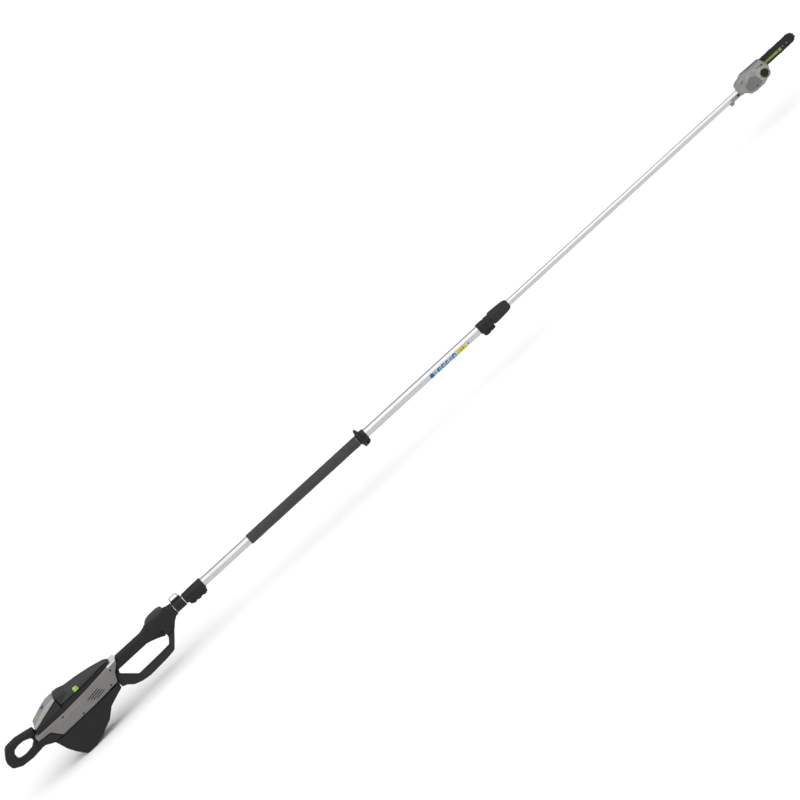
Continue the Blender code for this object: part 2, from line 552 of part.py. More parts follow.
def bar_and_chain():
    cover_shell = add("bar_cover", slab(BAR_COVER, [(17.8, 0), (30, 0), (36, 5)]), "head_grey")
    cut(cover_shell, slab(drawn_in(BAR_COVER, WALL), [(16, 0), (28.5, 0), (33, 2.5)]))
    cut(cover_shell, rod(27, 43, 9, (2800, 0, BAR_Z), "Y", 20))
    edge = BAR_HALF_HEIGHT + 0.1
    bar = [(2780, BAR_Z - 11, 6), (2800, BAR_Z - edge, 20), (NOSE_X + edge, BAR_Z - edge, edge),
           (NOSE_X + edge, BAR_Z + edge, edge), (2800, BAR_Z + edge, 20), (2780, BAR_Z + 11, 6)]
    blade = add("guide_bar", slab(bar, [(BAR_Y - BAR_HALF_THICKNESS, 0), (BAR_Y + BAR_HALF_THICKNESS, 0)],
                                  steps=10), "steel")
    cut(blade, rod(5, 24, 3.6, (2800, 0, BAR_Z), "Y", 16))
    cut(blade, rod(5, 24, 2.4, (2786, 0, BAR_Z - 7), "Y", 12))
    # The nose wheel sits in a slot between the bar's two plates, open at the rim, on a pin through them.
    slot = disc_corners(NOSE_X, BAR_Z, 15, 28)
    cut(blade, slab(slot, [(BAR_Y - 1, 0), (BAR_Y + 1, 0)]))
    cut(blade, slab(box_corners(NOSE_X, NOSE_X + 30, BAR_Z - 14, BAR_Z + 14), [(BAR_Y - 1, 0), (BAR_Y + 1, 0)]))
    join(blade, rod(BAR_Y - 1.5, BAR_Y + 1.5, 3, (NOSE_X, 0, BAR_Z), "Y", 16))
    wheel = add("nose_sprocket", slab(toothed(NOSE_X, BAR_Z, 9, 11, 14.5), [(BAR_Y - 0.7, 0), (BAR_Y + 0.7, 0)]),
                "steel", (NOSE_X, BAR_Y, BAR_Z))
    cut(wheel, rod(5, 24, 3.4, (NOSE_X, 0, BAR_Z), "Y", 16))
    length = 2 * (NOSE_X - SPROCKET_X + math.pi * BAR_HALF_HEIGHT)
    pitch = length / CHAIN_PITCH_COUNT
    outer = []
    inner = []
    for link in range(CHAIN_PITCH_COUNT):
        cutter = link % 2 == 0
        for share, height in ((0.05, 3.6), (0.2, 6.5 if cutter else 4.4), (0.75, 5.6 if cutter else 4.4),
                              (0.9, 3.6)):
            outer.append((*track((link + share) * pitch, height), 0))
        inner += [(*track((link + share) * pitch, 0.9), 0) for share in (0, 0.25, 0.5, 0.75)]
    chain = add("saw_chain", slab(outer, [(BAR_Y - 3.2, 0), (BAR_Y + 3.2, 0)]), "steel")
    cut(chain, slab(inner, [(BAR_Y - 8, 0), (BAR_Y + 8, 0)]))
    add("bar_stud", rod(-4, 36, 3, (2800, 0, BAR_Z), "Y", 16), "steel")
    add("bar_nut", pipe(31, 35, 7.5, 3.8, (2800, 0, BAR_Z), "Y", 6), "steel")
    add("tension_screw", turned([(2773, 0), (2773, 2.2), (2829, 2.2), (2829, 0)], (0, 2.3, 3.2), "X", 12),
        "black_steel")


def head_drive():
    add("bevel_pinion", turned([(2724, 5.3), (2724, 8.2), (2729.6, 5.9), (2729.6, 5.3)], sides=12), "steel")
    layshaft = turned([(-27, 0), (-27, 4), (4, 4), (4, 0)], (COUNTER_X, 0, 0), "Y", 16)
    add("countershaft", layshaft, "steel", (COUNTER_X, 0, 0))
    add("bevel_gear", turned([(-14, 4.3), (-14, 16), (-9, 16), (-6, 10), (-6, 4.3)], (COUNTER_X, 0, 0), "Y",
                             24), "steel", (COUNTER_X, 0, 0))
    pinion = add("spur_pinion", slab(toothed(COUNTER_X, 0, 11, 6, 7.6), [(-20, 0), (-15, 0)]), "steel",
                 (COUNTER_X, 0, 0))
    cut(pinion, rod(-22, -12, 4.3, (COUNTER_X, 0, 0), "Y", 16))
    spindle = turned([(-27, 0), (-27, 4), (17.2, 4), (17.2, 0)], (SPROCKET_X, 0, BAR_Z), "Y", 16)
    add("sprocket_spindle", spindle, "steel", (SPROCKET_X, 0, BAR_Z))
    gear = add("spur_gear", slab(toothed(SPROCKET_X, BAR_Z, 20, 11.6, 13.2), [(-20, 0), (-15, 0)]), "steel",
               (SPROCKET_X, 0, BAR_Z))
    cut(gear, rod(-22, -12, 4.3, (SPROCKET_X, 0, BAR_Z), "Y", 16))
    wheel = add("drive_sprocket", slab(toothed(SPROCKET_X, BAR_Z, 7, 11, 15), [(11.2, 0), (16.6, 0)]), "steel",
                (SPROCKET_X, 0, BAR_Z))
    cut(wheel, rod(5, 24, 4.3, (SPROCKET_X, 0, BAR_Z), "Y", 16))


def oiling():
    x, y, z = CAP_CENTRE
    tank = add("oil_tank", slab([(2771, 30, 6), (2818, 31, 6), (2824, 14, 8), (2825, 0, 6), (2812, -12, 8),
                                 (2795, -24, 8), (2771, -26, 8)], [(-27, 5), (-24, 1), (-5.4, 0)]), "tank_plastic")
    cut(tank, slab([(2773, 28, 5), (2816, 29, 5), (2822, 13, 8), (2823, 0, 6), (2811, -10, 8), (2794, -22, 8),
                    (2773, -24, 8)], [(-25, 5), (-22, 1), (-7.4, 0)]))
    cut(tank, rod(-40, -20, 9, (x, 0, z), "Y", 20))
    cap = turned([(-36.5, 0), (-36.5, 12), (-35, 14), (-29, 14.5), (-27.6, 14.5), (-27.6, 8), (-20, 8), (-20, 0)],
                 (x, 0, z), "Y", 28)
    add("oil_cap", cap, "black_plastic", CAP_CENTRE)
    add("oil_pump", rod(2738, 2764, 5, (0, -18, -21), sides=16), "black_steel")


def main():
    for obj in list(bpy.data.objects):
        bpy.data.objects.remove(obj)
    origin = bpy.data.objects.new("pole_axis", None)
    origin.location = (-MIDDLE_X * MM, 0, AXIS_HEIGHT * MM)
    bpy.context.scene.collection.objects.link(origin)
    for section in (housing, dock, cover, rear_loop, foot, grip, triggers, battery, motor, pole,
                    grips_on_pole, pole_lock, gear_case, bar_and_chain, head_drive, oiling):
        section()


main()
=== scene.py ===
"""Looks of the telescoping pole saw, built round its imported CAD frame.

Shapes are drawn in millimetres in the pole's axes, as the CAD model's are: x forward from the rear
socket's front face, y to the user's left, z up from the pole's axis. TO_WORLD carries them to their place.
"""
import math

import bmesh
import bpy
from mathutils import Matrix, Vector


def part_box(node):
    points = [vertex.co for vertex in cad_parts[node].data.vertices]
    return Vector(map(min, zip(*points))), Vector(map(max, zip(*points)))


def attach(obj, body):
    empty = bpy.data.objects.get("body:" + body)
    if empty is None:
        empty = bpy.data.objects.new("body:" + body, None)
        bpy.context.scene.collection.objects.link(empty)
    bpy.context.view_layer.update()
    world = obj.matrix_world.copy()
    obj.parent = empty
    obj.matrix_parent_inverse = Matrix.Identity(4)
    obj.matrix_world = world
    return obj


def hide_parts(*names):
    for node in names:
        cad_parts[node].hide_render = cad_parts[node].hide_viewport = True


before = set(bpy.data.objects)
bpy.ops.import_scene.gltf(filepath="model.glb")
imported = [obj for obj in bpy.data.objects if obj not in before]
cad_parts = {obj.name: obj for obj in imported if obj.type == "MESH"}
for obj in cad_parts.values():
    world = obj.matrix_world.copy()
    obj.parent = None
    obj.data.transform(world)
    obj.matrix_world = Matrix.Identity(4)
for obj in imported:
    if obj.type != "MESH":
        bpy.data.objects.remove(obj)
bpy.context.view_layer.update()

MM = 0.001
SOCKET_FRONT = -1.0             # front face of the socket, in the pole's axes
tube_low, tube_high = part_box("outer_tube")
POLE = Vector((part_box("front_socket")[1].x - SOCKET_FRONT * MM, 0, (tube_low.z + tube_high.z) / 2))
TO_WORLD = Matrix.Translation(POLE) @ Matrix.Scale(MM, 4)

# Driving dimensions, in millimetres
HALF_WIDTH = 50.0
GRIP_HALF_WIDTH = 21.0
WALL = 3.0
OUTER_RADIUS = 17.5
OUTER_BORE = 15.7
INNER_RADIUS = 12.5
INNER_BORE = 10.9
TUBE_FIT = 17.8                 # bore of what sits on the outer tube
BUTTON_X = -609.0
BAR_Y = 14.0
BAR_HALF_THICKNESS = 1.9
TAPER_START = -600.0            # the rear unit narrows forward of here
TAPER_END = -430.0
TAPER_STEPS = 24
BAR_Z = 17.7
BAR_HALF_HEIGHT = 16.0
SPROCKET_X = 2752.0
NOSE_X = 2961.5
STUD_X = 2800.0
CAP_X = 2803.0
CAP_Z = -3.0
CHAIN_RIVETS = 54
SIDES = {"right": -1, "left": 1}


# ---------------------------------------------------------------- materials

def nodes_of(name, colour, roughness, metallic=0.0):
    made = bpy.data.materials.new(name)
    made.use_nodes = True
    tree = made.node_tree
    shader = tree.nodes["Principled BSDF"]
    shader.inputs["Base Color"].default_value = (*colour, 1)
    shader.inputs["Roughness"].default_value = roughness
    shader.inputs["Metallic"].default_value = metallic
    return made, tree, shader


def noise(tree, scale, detail=3.0, stretch=(1, 1, 1)):
    """Noise value in the object's own metres, with the grain stretched along its axes."""
    place = tree.nodes.new("ShaderNodeTexCoord")
    spread = tree.nodes.new("ShaderNodeMapping")
    spread.inputs["Scale"].default_value = stretch
    grain = tree.nodes.new("ShaderNodeTexNoise")
    grain.inputs["Scale"].default_value = scale
    grain.inputs["Detail"].default_value = detail
    tree.links.new(place.outputs["Object"], spread.inputs["Vector"])
    tree.links.new(spread.outputs["Vector"], grain.inputs["Vector"])
    return grain.outputs["Fac"]


def ranged(tree, value, low, high, start=0.3, stop=0.7):
    span = tree.nodes.new("ShaderNodeMapRange")
    span.inputs["From Min"].default_value = start
    span.inputs["From Max"].default_value = stop
    span.inputs["To Min"].default_value = low
    span.inputs["To Max"].default_value = high
    tree.links.new(value, span.inputs["Value"])
    return span.outputs["Result"]


def two_tone(tree, value, dark, light):
    ramp = tree.nodes.new("ShaderNodeValToRGB")
    ramp.color_ramp.elements[0].position = 0.3
    ramp.color_ramp.elements[1].position = 0.7
    ramp.color_ramp.elements[0].color = (*dark, 1)
    ramp.color_ramp.elements[1].color = (*light, 1)
    tree.links.new(value, ramp.inputs["Fac"])
    return ramp.outputs["Color"]


def mottled(tree, shader, value, colour, low, high):
    """Base colour that varies between low and high times colour."""
    tree.links.new(two_tone(tree, value, toned(colour, low), toned(colour, high)),
                   shader.inputs["Base Color"])


def split_axes(tree, kind):
    """X, Y and Z of a texture coordinate of that kind."""
    place = tree.nodes.new("ShaderNodeTexCoord")
    split = tree.nodes.new("ShaderNodeSeparateXYZ")
    tree.links.new(place.outputs[kind], split.inputs["Vector"])
    return split.outputs


def product(tree, first, second):
    times = tree.nodes.new("ShaderNodeMath")
    times.operation = "MULTIPLY"
    tree.links.new(first, times.inputs[0])
    tree.links.new(second, times.inputs[1])
    return times.outputs["Value"]


def bumped(tree, shader, height, strength, distance):
    bump = tree.nodes.new("ShaderNodeBump")
    bump.inputs["Strength"].default_value = strength
    bump.inputs["Distance"].default_value = distance
    tree.links.new(height, bump.inputs["Height"])
    tree.links.new(bump.outputs["Normal"], shader.inputs["Normal"])


def toned(colour, factor):
    return tuple(min(channel * factor, 1) for channel in colour)


def plastic(name, colour, roughness, grain=1400.0, strength=0.25, variation=0.1, specular=0.25):
    """Moulded plastic: spark-eroded grain, faint cloudiness and uneven gloss."""
    made, tree, shader = nodes_of(name, colour, roughness)
    shader.inputs["Specular IOR Level"].default_value = specular
    mottled(tree, shader, noise(tree, 14.0), colour, 1 - variation, 1 + variation)
    rub = noise(tree, 60.0, 5.0)
    tree.links.new(ranged(tree, rub, roughness - 0.06, roughness + 0.06), shader.inputs["Roughness"])
    bumped(tree, shader, noise(tree, grain, 2.0), strength, 0.0002)
    return made


def scuffed_plastic():
    """The foot's plastic, rubbed pale where it meets the ground."""
    colour = (0.009, 0.009, 0.0095)
    made, tree, shader = nodes_of("foot_black", colour, 0.55)
    shader.inputs["Specular IOR Level"].default_value = 0.25
    low = ranged(tree, split_axes(tree, "Object")["Z"], 1.0, 0.0, 0.0, 0.012)
    scratches = ranged(tree, noise(tree, 260.0, 5.0, (1, 0.25, 1)), 0.0, 1.0, 0.45, 0.7)
    mix = tree.nodes.new("ShaderNodeMix")
    mix.data_type = "RGBA"
    mix.inputs["A"].default_value = (*colour, 1)
    mix.inputs["B"].default_value = (0.03, 0.03, 0.03, 1)
    tree.links.new(product(tree, low, scratches), mix.inputs["Factor"])
    tree.links.new(mix.outputs["Result"], shader.inputs["Base Color"])
    bumped(tree, shader, noise(tree, 1200.0, 2.0), 0.25, 0.0002)
    return made


def brushed(name, colour, roughness, stretch, strength=0.12):
    """Drawn or ground metal: fine lines along the stretched axis."""
    made, tree, shader = nodes_of(name, colour, roughness, 1.0)
    lines = noise(tree, 900.0, 4.0, stretch)
    tree.links.new(ranged(tree, lines, roughness - 0.07, roughness + 0.09), shader.inputs["Roughness"])
    mottled(tree, shader, lines, colour, 0.93, 1.04)
    bumped(tree, shader, lines, strength, 0.00005)
    return made


def foam():
    colour = (0.044, 0.044, 0.045)
    made, tree, shader = nodes_of("foam_rubber", colour, 0.92)
    shader.inputs["Specular IOR Level"].default_value = 0.2
    mottled(tree, shader, noise(tree, 240.0, 5.0), colour, 0.72, 1.4)
    cells = tree.nodes.new("ShaderNodeTexVoronoi")
    cells.inputs["Scale"].default_value = 900.0
    place = tree.nodes.new("ShaderNodeTexCoord")
    tree.links.new(place.outputs["Object"], cells.inputs["Vector"])
    bumped(tree, shader, cells.outputs["Distance"], 0.5, 0.0006)
    shader.inputs["Sheen Weight"].default_value = 0.1
    return made


def painted_silver():
    """Silver paint with fine metal flake under a clear coat."""
    colour = (0.3, 0.31, 0.298)
    made, tree, shader = nodes_of("silver_paint", colour, 0.34, 0.3)
    mottled(tree, shader, noise(tree, 2600.0, 2.0), colour, 0.86, 1.12)
    tree.links.new(ranged(tree, noise(tree, 40.0, 4.0), 0.3, 0.4), shader.inputs["Roughness"])
    shader.inputs["Coat Weight"].default_value = 0.35
    shader.inputs["Coat Roughness"].default_value = 0.12
    bumped(tree, shader, noise(tree, 500.0, 2.0), 0.06, 0.0001)
    return made


def ink(name, colour):
    return plastic(name, colour, 0.42, strength=0.05)


def tinted_tank():
    colour = (0.2, 0.23, 0.07)
    made, tree, shader = nodes_of("tank_tint", colour, 0.25)
    mottled(tree, shader, noise(tree, 70.0), colour, 0.75, 1.25)
    shader.inputs["Transmission Weight"].default_value = 0.25
    shader.inputs["Coat Weight"].default_value = 0.4
    bumped(tree, shader, noise(tree, 600.0, 2.0), 0.08, 0.0001)
    return made


BLACK = plastic("black_moulding", (0.009, 0.009, 0.0095), 0.5)
SOFT_BLACK = plastic("soft_touch_black", (0.022, 0.022, 0.0225), 0.7, grain=900.0, strength=0.4, specular=0.2)
GLOSS_BLACK = plastic("gloss_black", (0.006, 0.006, 0.0065), 0.2, grain=700.0, strength=0.04, specular=0.4)
CHARCOAL = plastic("charcoal_moulding", (0.034, 0.034, 0.035), 0.46)
GREY = plastic("warm_grey_moulding", (0.157, 0.151, 0.146), 0.42, specular=0.4)
HEAD_GREY = plastic("head_grey_moulding", (0.215, 0.213, 0.207), 0.36, specular=0.55)
# Lighter grey of the side bead: a painted highlight standing for a lit facet on the housing
BEAD_PAINTED_HIGHLIGHT = plastic("housing_bead_painted_highlight", (0.215, 0.21, 0.203), 0.34, specular=0.5)
# Near-white painted highlight for the housing's upward-facing front nose faces, where a glossy chamfer
# catches the light
NOSE_PAINTED_HIGHLIGHT = plastic("housing_nose_painted_highlight", (0.62, 0.62, 0.61), 0.3, specular=0.5)
PANEL_GREY = plastic("head_panel_grey", (0.142, 0.14, 0.135), 0.5)
# Lighter grey of the head's ribs and the collar round the oil cap: painted highlight on their raised edges
RIB_PAINTED_HIGHLIGHT = plastic("head_rib_painted_highlight", (0.4, 0.4, 0.385), 0.3, specular=0.5)
LIME = plastic("lime_moulding", (0.24, 0.4, 0.045), 0.36, strength=0.1)
PALE = plastic("pale_tip", (0.6, 0.62, 0.58), 0.4, strength=0.1)
LIME_PRINT = plastic("lime_print", (0.16, 0.24, 0.035), 0.45, strength=0.05)
BLUE_PRINT = ink("blue_print", (0.012, 0.12, 0.24))
PALE_BLUE_PRINT = ink("pale_blue_print", (0.3, 0.55, 0.7))
YELLOW_PRINT = ink("yellow_print", (0.48, 0.42, 0.03))
DARK_PRINT = ink("dark_print", (0.1, 0.07, 0.06))
SCUFFED = scuffed_plastic()
SILVER = painted_silver()
TUBE = brushed("drawn_aluminium", (0.53, 0.53, 0.54), 0.26, (0.02, 1, 1))
STEEL = brushed("ground_steel", (0.5, 0.5, 0.52), 0.34, (1, 1, 0.05))
DARK_STEEL = brushed("black_oxide", (0.04, 0.04, 0.043), 0.42, (0.2, 1, 1))
BAR_PAINT = plastic("bar_paint", (0.01, 0.01, 0.013), 0.36, grain=1800.0, strength=0.12)
COPPER = brushed("enamelled_copper", (0.6, 0.28, 0.12), 0.4, (1, 1, 0.2))
BOARD = plastic("lacquered_board", (0.03, 0.12, 0.06), 0.3, grain=500.0)
FOAM = foam()
TANK = tinted_tank()


# ---------------------------------------------------------------- outlines

def drawn_in(corners, distance):
    """Move each side of a closed outline of (x, z, radius) corners inwards by distance."""
    points = [Vector((x, z)) for x, z, _ in corners]
    count = len(points)
    area = sum(points[i - 1].cross(points[i]) for i in range(count))
    turn = 1 if area > 0 else -1
    moved = []
    for i, (x, z, radius) in enumerate(corners):
        before = (points[i] - points[i - 1]).normalized()
        after = (points[(i + 1) % count] - points[i]).normalized()
        normal_a = Vector((-before.y, before.x)) * turn
        normal_b = Vector((-after.y, after.x)) * turn
        shift = (normal_a + normal_b) / (1 + normal_a.dot(normal_b)) * distance
        bend = before.cross(after) * turn
        new_radius = max(radius - distance if bend > 0 else radius + distance, 0.2) if radius else 0
        moved.append((x + shift.x, z + shift.y, new_radius))
    return moved


def rounded(corners, steps):
    """Outline points (x, z) of (x, z, radius) corners, each radius swept as an arc."""
    outline = []
    count = len(corners)
    for i, (x, z, radius) in enumerate(corners):
        here = Vector((x, z))
        if radius <= 0:
            outline.append(here)
            continue
        back = Vector(corners[i - 1][:2]) - here
        ahead = Vector(corners[(i + 1) % count][:2]) - here
        half = back.angle(ahead) / 2
        reach = min(radius / math.tan(half), 0.47 * min(back.length, ahead.length))
        start = here + back.normalized() * reach
        bisector = (back.normalized() + ahead.normalized()).normalized()
        centre = here + bisector * (reach / math.cos(half))
        sweep = math.pi - 2 * half
        if back.cross(ahead) > 0:
            sweep = -sweep
        for k in range(steps + 1):
            outline.append(centre + Matrix.Rotation(sweep * k / steps, 2) @ (start - centre))
    return outline


def box_corners(x0, x1, z0, z1, radius=0.0):
    return [(x0, z0, radius), (x1, z0, radius), (x1, z1, radius), (x0, z1, radius)]


def narrowing(start, end, share):
    """Width factor: full behind start, falling smoothly to share at end."""
    def width(x):
        t = min(max((x - start) / (end - start), 0), 1)
        return 1 - (1 - share) * t * t * (3 - 2 * t)
    return width


def edge_layers(low, high, depth, inset, steps=5, ends=(True, True)):
    """(y, inset) layers of a body from low to high, with a rounded edge of that depth at its ends."""
    layers = []
    turns = [math.pi / 2 * k / steps for k in range(steps + 1)]
    if ends[0]:
        layers += [(low + depth * (1 - math.cos(a)), inset * (1 - math.sin(a))) for a in turns]
    else:
        layers.append((low, 0))
    if ends[1]:
        layers += [(high - depth * (1 - math.cos(a)), inset * (1 - math.sin(a))) for a in reversed(turns)]
    else:
        layers.append((high, 0))
    return layers


def one_side(sign, inner, outer, depth, inset):
    """Layers of one half of a clamshell: flat at the middle plane, rounded outside."""
    layers = edge_layers(inner, outer, depth, inset, ends=(False, True))
    return [(y * sign, drawn) for y, drawn in layers]


# ---------------------------------------------------------------- meshes

def bridge(bm, first, second):
    count = max(len(first), len(second))
    if count == 1:
        return
    for k in range(count):
        nxt = (k + 1) % count
        if len(first) == 1:
            bm.faces.new((first[0], second[nxt], second[k]))
        elif len(second) == 1:
            bm.faces.new((first[k], first[nxt], second[0]))
        else:
            bm.faces.new((first[k], first[nxt], second[nxt], second[k]))


def capped(bm, rings):
    """Join rings of points into a body, and return its two flat ends."""
    for first, second in zip(rings, rings[1:]):
        bridge(bm, first, second)
    return [bm.faces.new(rings[0]), bm.faces.new(rings[-1])]


AXIS_TURNS = {
    "X": Matrix.Identity(4),
    "Y": Matrix.Rotation(math.pi / 2, 4, "Z"),
    "Z": Matrix.Rotation(-math.pi / 2, 4, "Y"),
}


def turned(profile, centre=(0, 0, 0), axis="X", sides=64, ripple=None):
    """Solid of revolution: a closed (distance along the axis, radius) profile. ripple gives a change of
    radius for (distance along, radius, angle)."""
    bm = bmesh.new()
    rings = []
    for along, radius in profile:
        if radius < 1e-6:
            rings.append([bm.verts.new((along, 0, 0))])
            continue
        ring = []
        for k in range(sides):
            angle = math.tau * (k + 0.5) / sides
            r = radius + (ripple(along, radius, angle) if ripple else 0)
            ring.append(bm.verts.new((along, r * math.cos(angle), r * math.sin(angle))))
        rings.append(ring)
    for first, second in zip(rings, rings[1:] + rings[:1]):
        bridge(bm, first, second)
    bm.transform(Matrix.Translation(centre) @ AXIS_TURNS[axis])
    return bm


def rod(x0, x1, radius, centre=(0, 0, 0), axis="X", sides=32):
    return turned([(x0, 0), (x0, radius), (x1, radius), (x1, 0)], centre, axis, sides)


def slab(corners, layers, taper=None, steps=7):
    """Solid lofted along y: at each (y, inset) layer the outline is drawn in by inset."""
    bm = bmesh.new()
    rings = []
    for y, inset in layers:
        outline = rounded(drawn_in(corners, inset), steps)
        rings.append([bm.verts.new((p.x, y, p.y)) for p in outline])
    caps = capped(bm, rings)
    bm.normal_update()
    bmesh.ops.triangulate(bm, faces=caps, ngon_method="EAR_CLIP")
    if taper:
        narrow(bm, taper)
    return bm


def narrow(bm, taper):
    """Pull the sides in along x. Cuts across the solid come first, so that its faces follow the curve."""
    for k in range(TAPER_STEPS + 1):
        x = TAPER_START + (TAPER_END - TAPER_START) * k / TAPER_STEPS
        bmesh.ops.bisect_plane(bm, geom=bm.verts[:] + bm.edges[:] + bm.faces[:], dist=1e-4,
                               plane_co=(x, 0, 0), plane_no=(1, 0, 0))
    for vert in bm.verts:
        vert.co.y *= taper(vert.co.x)
    bmesh.ops.remove_doubles(bm, verts=bm.verts, dist=0.01)
    bmesh.ops.triangulate(bm, faces=bm.faces)
    bmesh.ops.dissolve_degenerate(bm, edges=bm.edges, dist=0.01)


def block(x0, x1, y0, y1, z0, z1):
    return slab(box_corners(x0, x1, z0, z1), [(y0, 0), (y1, 0)])


def wire(path, radius, sides=20):
    """Round bar along a list of points."""
    bm = bmesh.new()
    rings = []
    last = len(path) - 1
    for i, point in enumerate(path):
        along = (path[min(i + 1, last)] - path[max(i - 1, 0)]).normalized()
        across = Vector((0, 1, 0))
        up = along.cross(across).normalized()
        rings.append([bm.verts.new(point + radius * (across * math.cos(math.tau * k / sides)
                                                     + up * math.sin(math.tau * k / sides)))
                      for k in range(sides)])
    capped(bm, rings)
    return bm


def placed(name, data):
    """A new object in the scene."""
    made = bpy.data.objects.new(name, data)
    bpy.context.scene.collection.objects.link(made)
    return made


def mesh_object(name, bm):
    bmesh.ops.recalc_face_normals(bm, faces=bm.faces)
    bm.transform(TO_WORLD)
    mesh = bpy.data.meshes.new(name)
    bm.to_mesh(mesh)
    bm.free()
    return placed(name, mesh)


def settled(obj):
    """Replace an object's mesh by what its modifiers make of it."""
    bpy.context.view_layer.update()
    graph = bpy.context.evaluated_depsgraph_get()
    final = bpy.data.meshes.new_from_object(obj.evaluated_get(graph))
    obj.modifiers.clear()
    old = obj.data
    obj.data = final
    bpy.data.meshes.remove(old)


def piece(name, bm, look, body, stands_for=(), cuts=(), joins=(), crease=32):
    """A finished piece: mesh, joined and cut shapes, shading, material, body and CAD nodes."""
    made = mesh_object(name, bm)
    tools = []
    for operation, shapes in (("UNION", joins), ("DIFFERENCE", cuts)):
        for shape in shapes:
            tool = mesh_object(f"{name}_tool_{len(tools)}", shape)
            step = made.modifiers.new(tool.name, "BOOLEAN")
            step.operation = operation
            step.solver = "MANIFOLD"
            step.object = tool
            tools.append(tool)
    if tools:
        settled(made)
        for tool in tools:
            bpy.data.objects.remove(tool)
    made.data.materials.clear()
    made.data.materials.append(look)
    made.data.shade_smooth()
    made.data.set_sharp_from_angle(angle=math.radians(crease))
    weigh = made.modifiers.new("weighted_normals", "WEIGHTED_NORMAL")
    weigh.keep_sharp = True
    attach(made, body)
    if stands_for:
        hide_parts(*stands_for)
    return made


def second_look(made, look, chosen):
    """Give another material to the faces that chosen picks by (centre in the pole's axes, normal)."""
    made.data.materials.append(look)
    for face in made.data.polygons:
        if chosen((face.center - POLE) / MM, face.normal):
            face.material_index = 1


def merged(shapes):
    """Several closed shapes in one mesh."""
    whole = bmesh.new()
    for shape in shapes:
        part = bpy.data.meshes.new("part")
        bmesh.ops.recalc_face_normals(shape, faces=shape.faces)
        shape.to_mesh(part)
        shape.free()
        whole.from_mesh(part)
        bpy.data.meshes.remove(part)
    return whole


def screw_shape(x, y, z, radius, sign):
    """Pan head with a six-lobed socket, facing along y by sign."""
    def lobes(_, ring, angle):
        return 0.28 * radius * 0.35 * math.cos(6 * angle) if ring < radius * 0.5 else 0
    profile = [(0, radius * 0.4), (1.2, radius * 0.42), (1.2, radius * 0.9), (0.8, radius), (-0.8, radius),
               (-0.8, 0), (0, 0)]
    bm = turned(profile, (0, 0, 0), "Y", 48, lobes)
    bm.transform(Matrix.Translation((x, y, z)) @ (Matrix.Identity(4) if sign > 0
                                                 else Matrix.Rotation(math.pi, 4, "Z")))
    return bm


# ---------------------------------------------------------------- rear unit

# Side outlines as (x, z, corner radius).
HOUSING = [
    (-843, 5.5, 3), (-697, 5, 30), (-549, 14, 30), (-427, 22, 4), (-436, 5, 10), (-463, -18, 14),
    (-480, -51, 4), (-600, -55.5, 40), (-757, -58.5, 3), (-788, -19, 12), (-843, -14, 3),
]
COVER = [(-692.3, 30.5, 2), (-457, 30.5, 1), (-472, 37, 12), (-520, 46, 30), (-594, 55, 30),
         (-640, 60, 20), (-668, 69.5, 14), (-692.3, 70.6, 4)]
LOOP = [(-829, 31, 5), (-905, 46, 40), (-955, 43, 26), (-976, 17, 26), (-988, -2, 24), (-985, -34, 18),
        (-950, -52, 30), (-900, -56, 30), (-850, -51, 10), (-844.5, -47, 3), (-844.5, 8.5, 2), (-829, 8.5, 2)]
LOOP_HOLE = [(-857, 7, 8), (-884, 19, 20), (-910, 20, 20), (-931, 15, 14), (-943, 2, 14),
             (-946, -28, 14), (-915, -32, 24), (-880, -28, 18), (-857, -10, 10)]
LOOP_ROOT = [(-856, -39, 6), (-832, -42, 12), (-801, -58.5, 2), (-758, -59, 1), (-789.2, -20, 12),
             (-843.6, -15.2, 2), (-850, -21, 6)]
FOOT = [(-801, -59.5, 2), (-785, -112, 20), (-768, -144, 20), (-743, -179, 14), (-700, -179, 30),
        (-642, -159, 30), (-597, -139, 24), (-558, -105, 16), (-512, -88, 16), (-484, -78, 3),
        (-483, -55, 1), (-600, -56.6, 40), (-757, -59.5, 3)]
GRIP = [(-426.4, 17, 2), (-300, 17, 20), (-279, 23, 8), (-269, 28, 2), (-171, 28, 4), (-163, 24, 6),
        (-143, 21.5, 2), (-143, -21.5, 2), (-156, -23, 8), (-172, -34, 8), (-193, -55, 2), (-230, -55, 2),
        (-234, -24.5, 3), (-466, -25.6, 1), (-435, 5, 8)]
GRIP_CAVITY = [(-427, 13, 3), (-168, 13, 3), (-168, -15, 4), (-188, -36, 4), (-200, -51, 4),
               (-224, -51, 4), (-226, -21, 3), (-430, -21, 3)]
GUARD = [(-446, -26.1, 2), (-458, -44, 12), (-404, -97, 14), (-292, -94, 12), (-250, -91.5, 12),
         (-233, -70, 10), (-229.5, -55.5, 1), (-193.5, -55.5, 1), (-231, -99, 20), (-248, -117, 14),
         (-290, -123, 20), (-375, -127.5, 30), (-412, -122.5, 20), (-442, -112, 20), (-464, -93, 14),
         (-482, -86, 3), (-482, -53.4, 0), (-478.4, -51.8, 0), (-466, -26.1, 2)]
BATTERY_CASE = [(-821, 11, 4), (-693, 11, 4), (-693, 59, 2), (-821, 22, 3)]
BATTERY_LID = [(-824, 21.6, 3), (-693, 59.8, 2), (-693, 71, 6), (-727, 69, 20), (-757, 61, 30),
               (-816, 38, 10)]
TRIGGER = [(-311, -22, 2), (-240, -17, 3), (-236.5, -21, 2), (-236, -27, 2), (-231.4, -57, 4),
           (-257, -44, 14), (-285, -33.5, 20), (-311, -26.5, 2)]
LEVER = [(-262, 26.5, 2), (-210, 21.5, 10), (-178, 19.5, 3), (-176, 41, 8), (-196, 46.5, 14),
         (-235, 45.5, 20), (-252, 41, 10), (-266, 31, 5)]
BUTTON = [(BUTTON_X - 11, 34, 3), (BUTTON_X + 11, 34, 3), (BUTTON_X + 11, 48, 4), (BUTTON_X + 5, 53, 3),
          (BUTTON_X - 5, 53, 3), (BUTTON_X - 11, 48, 4)]
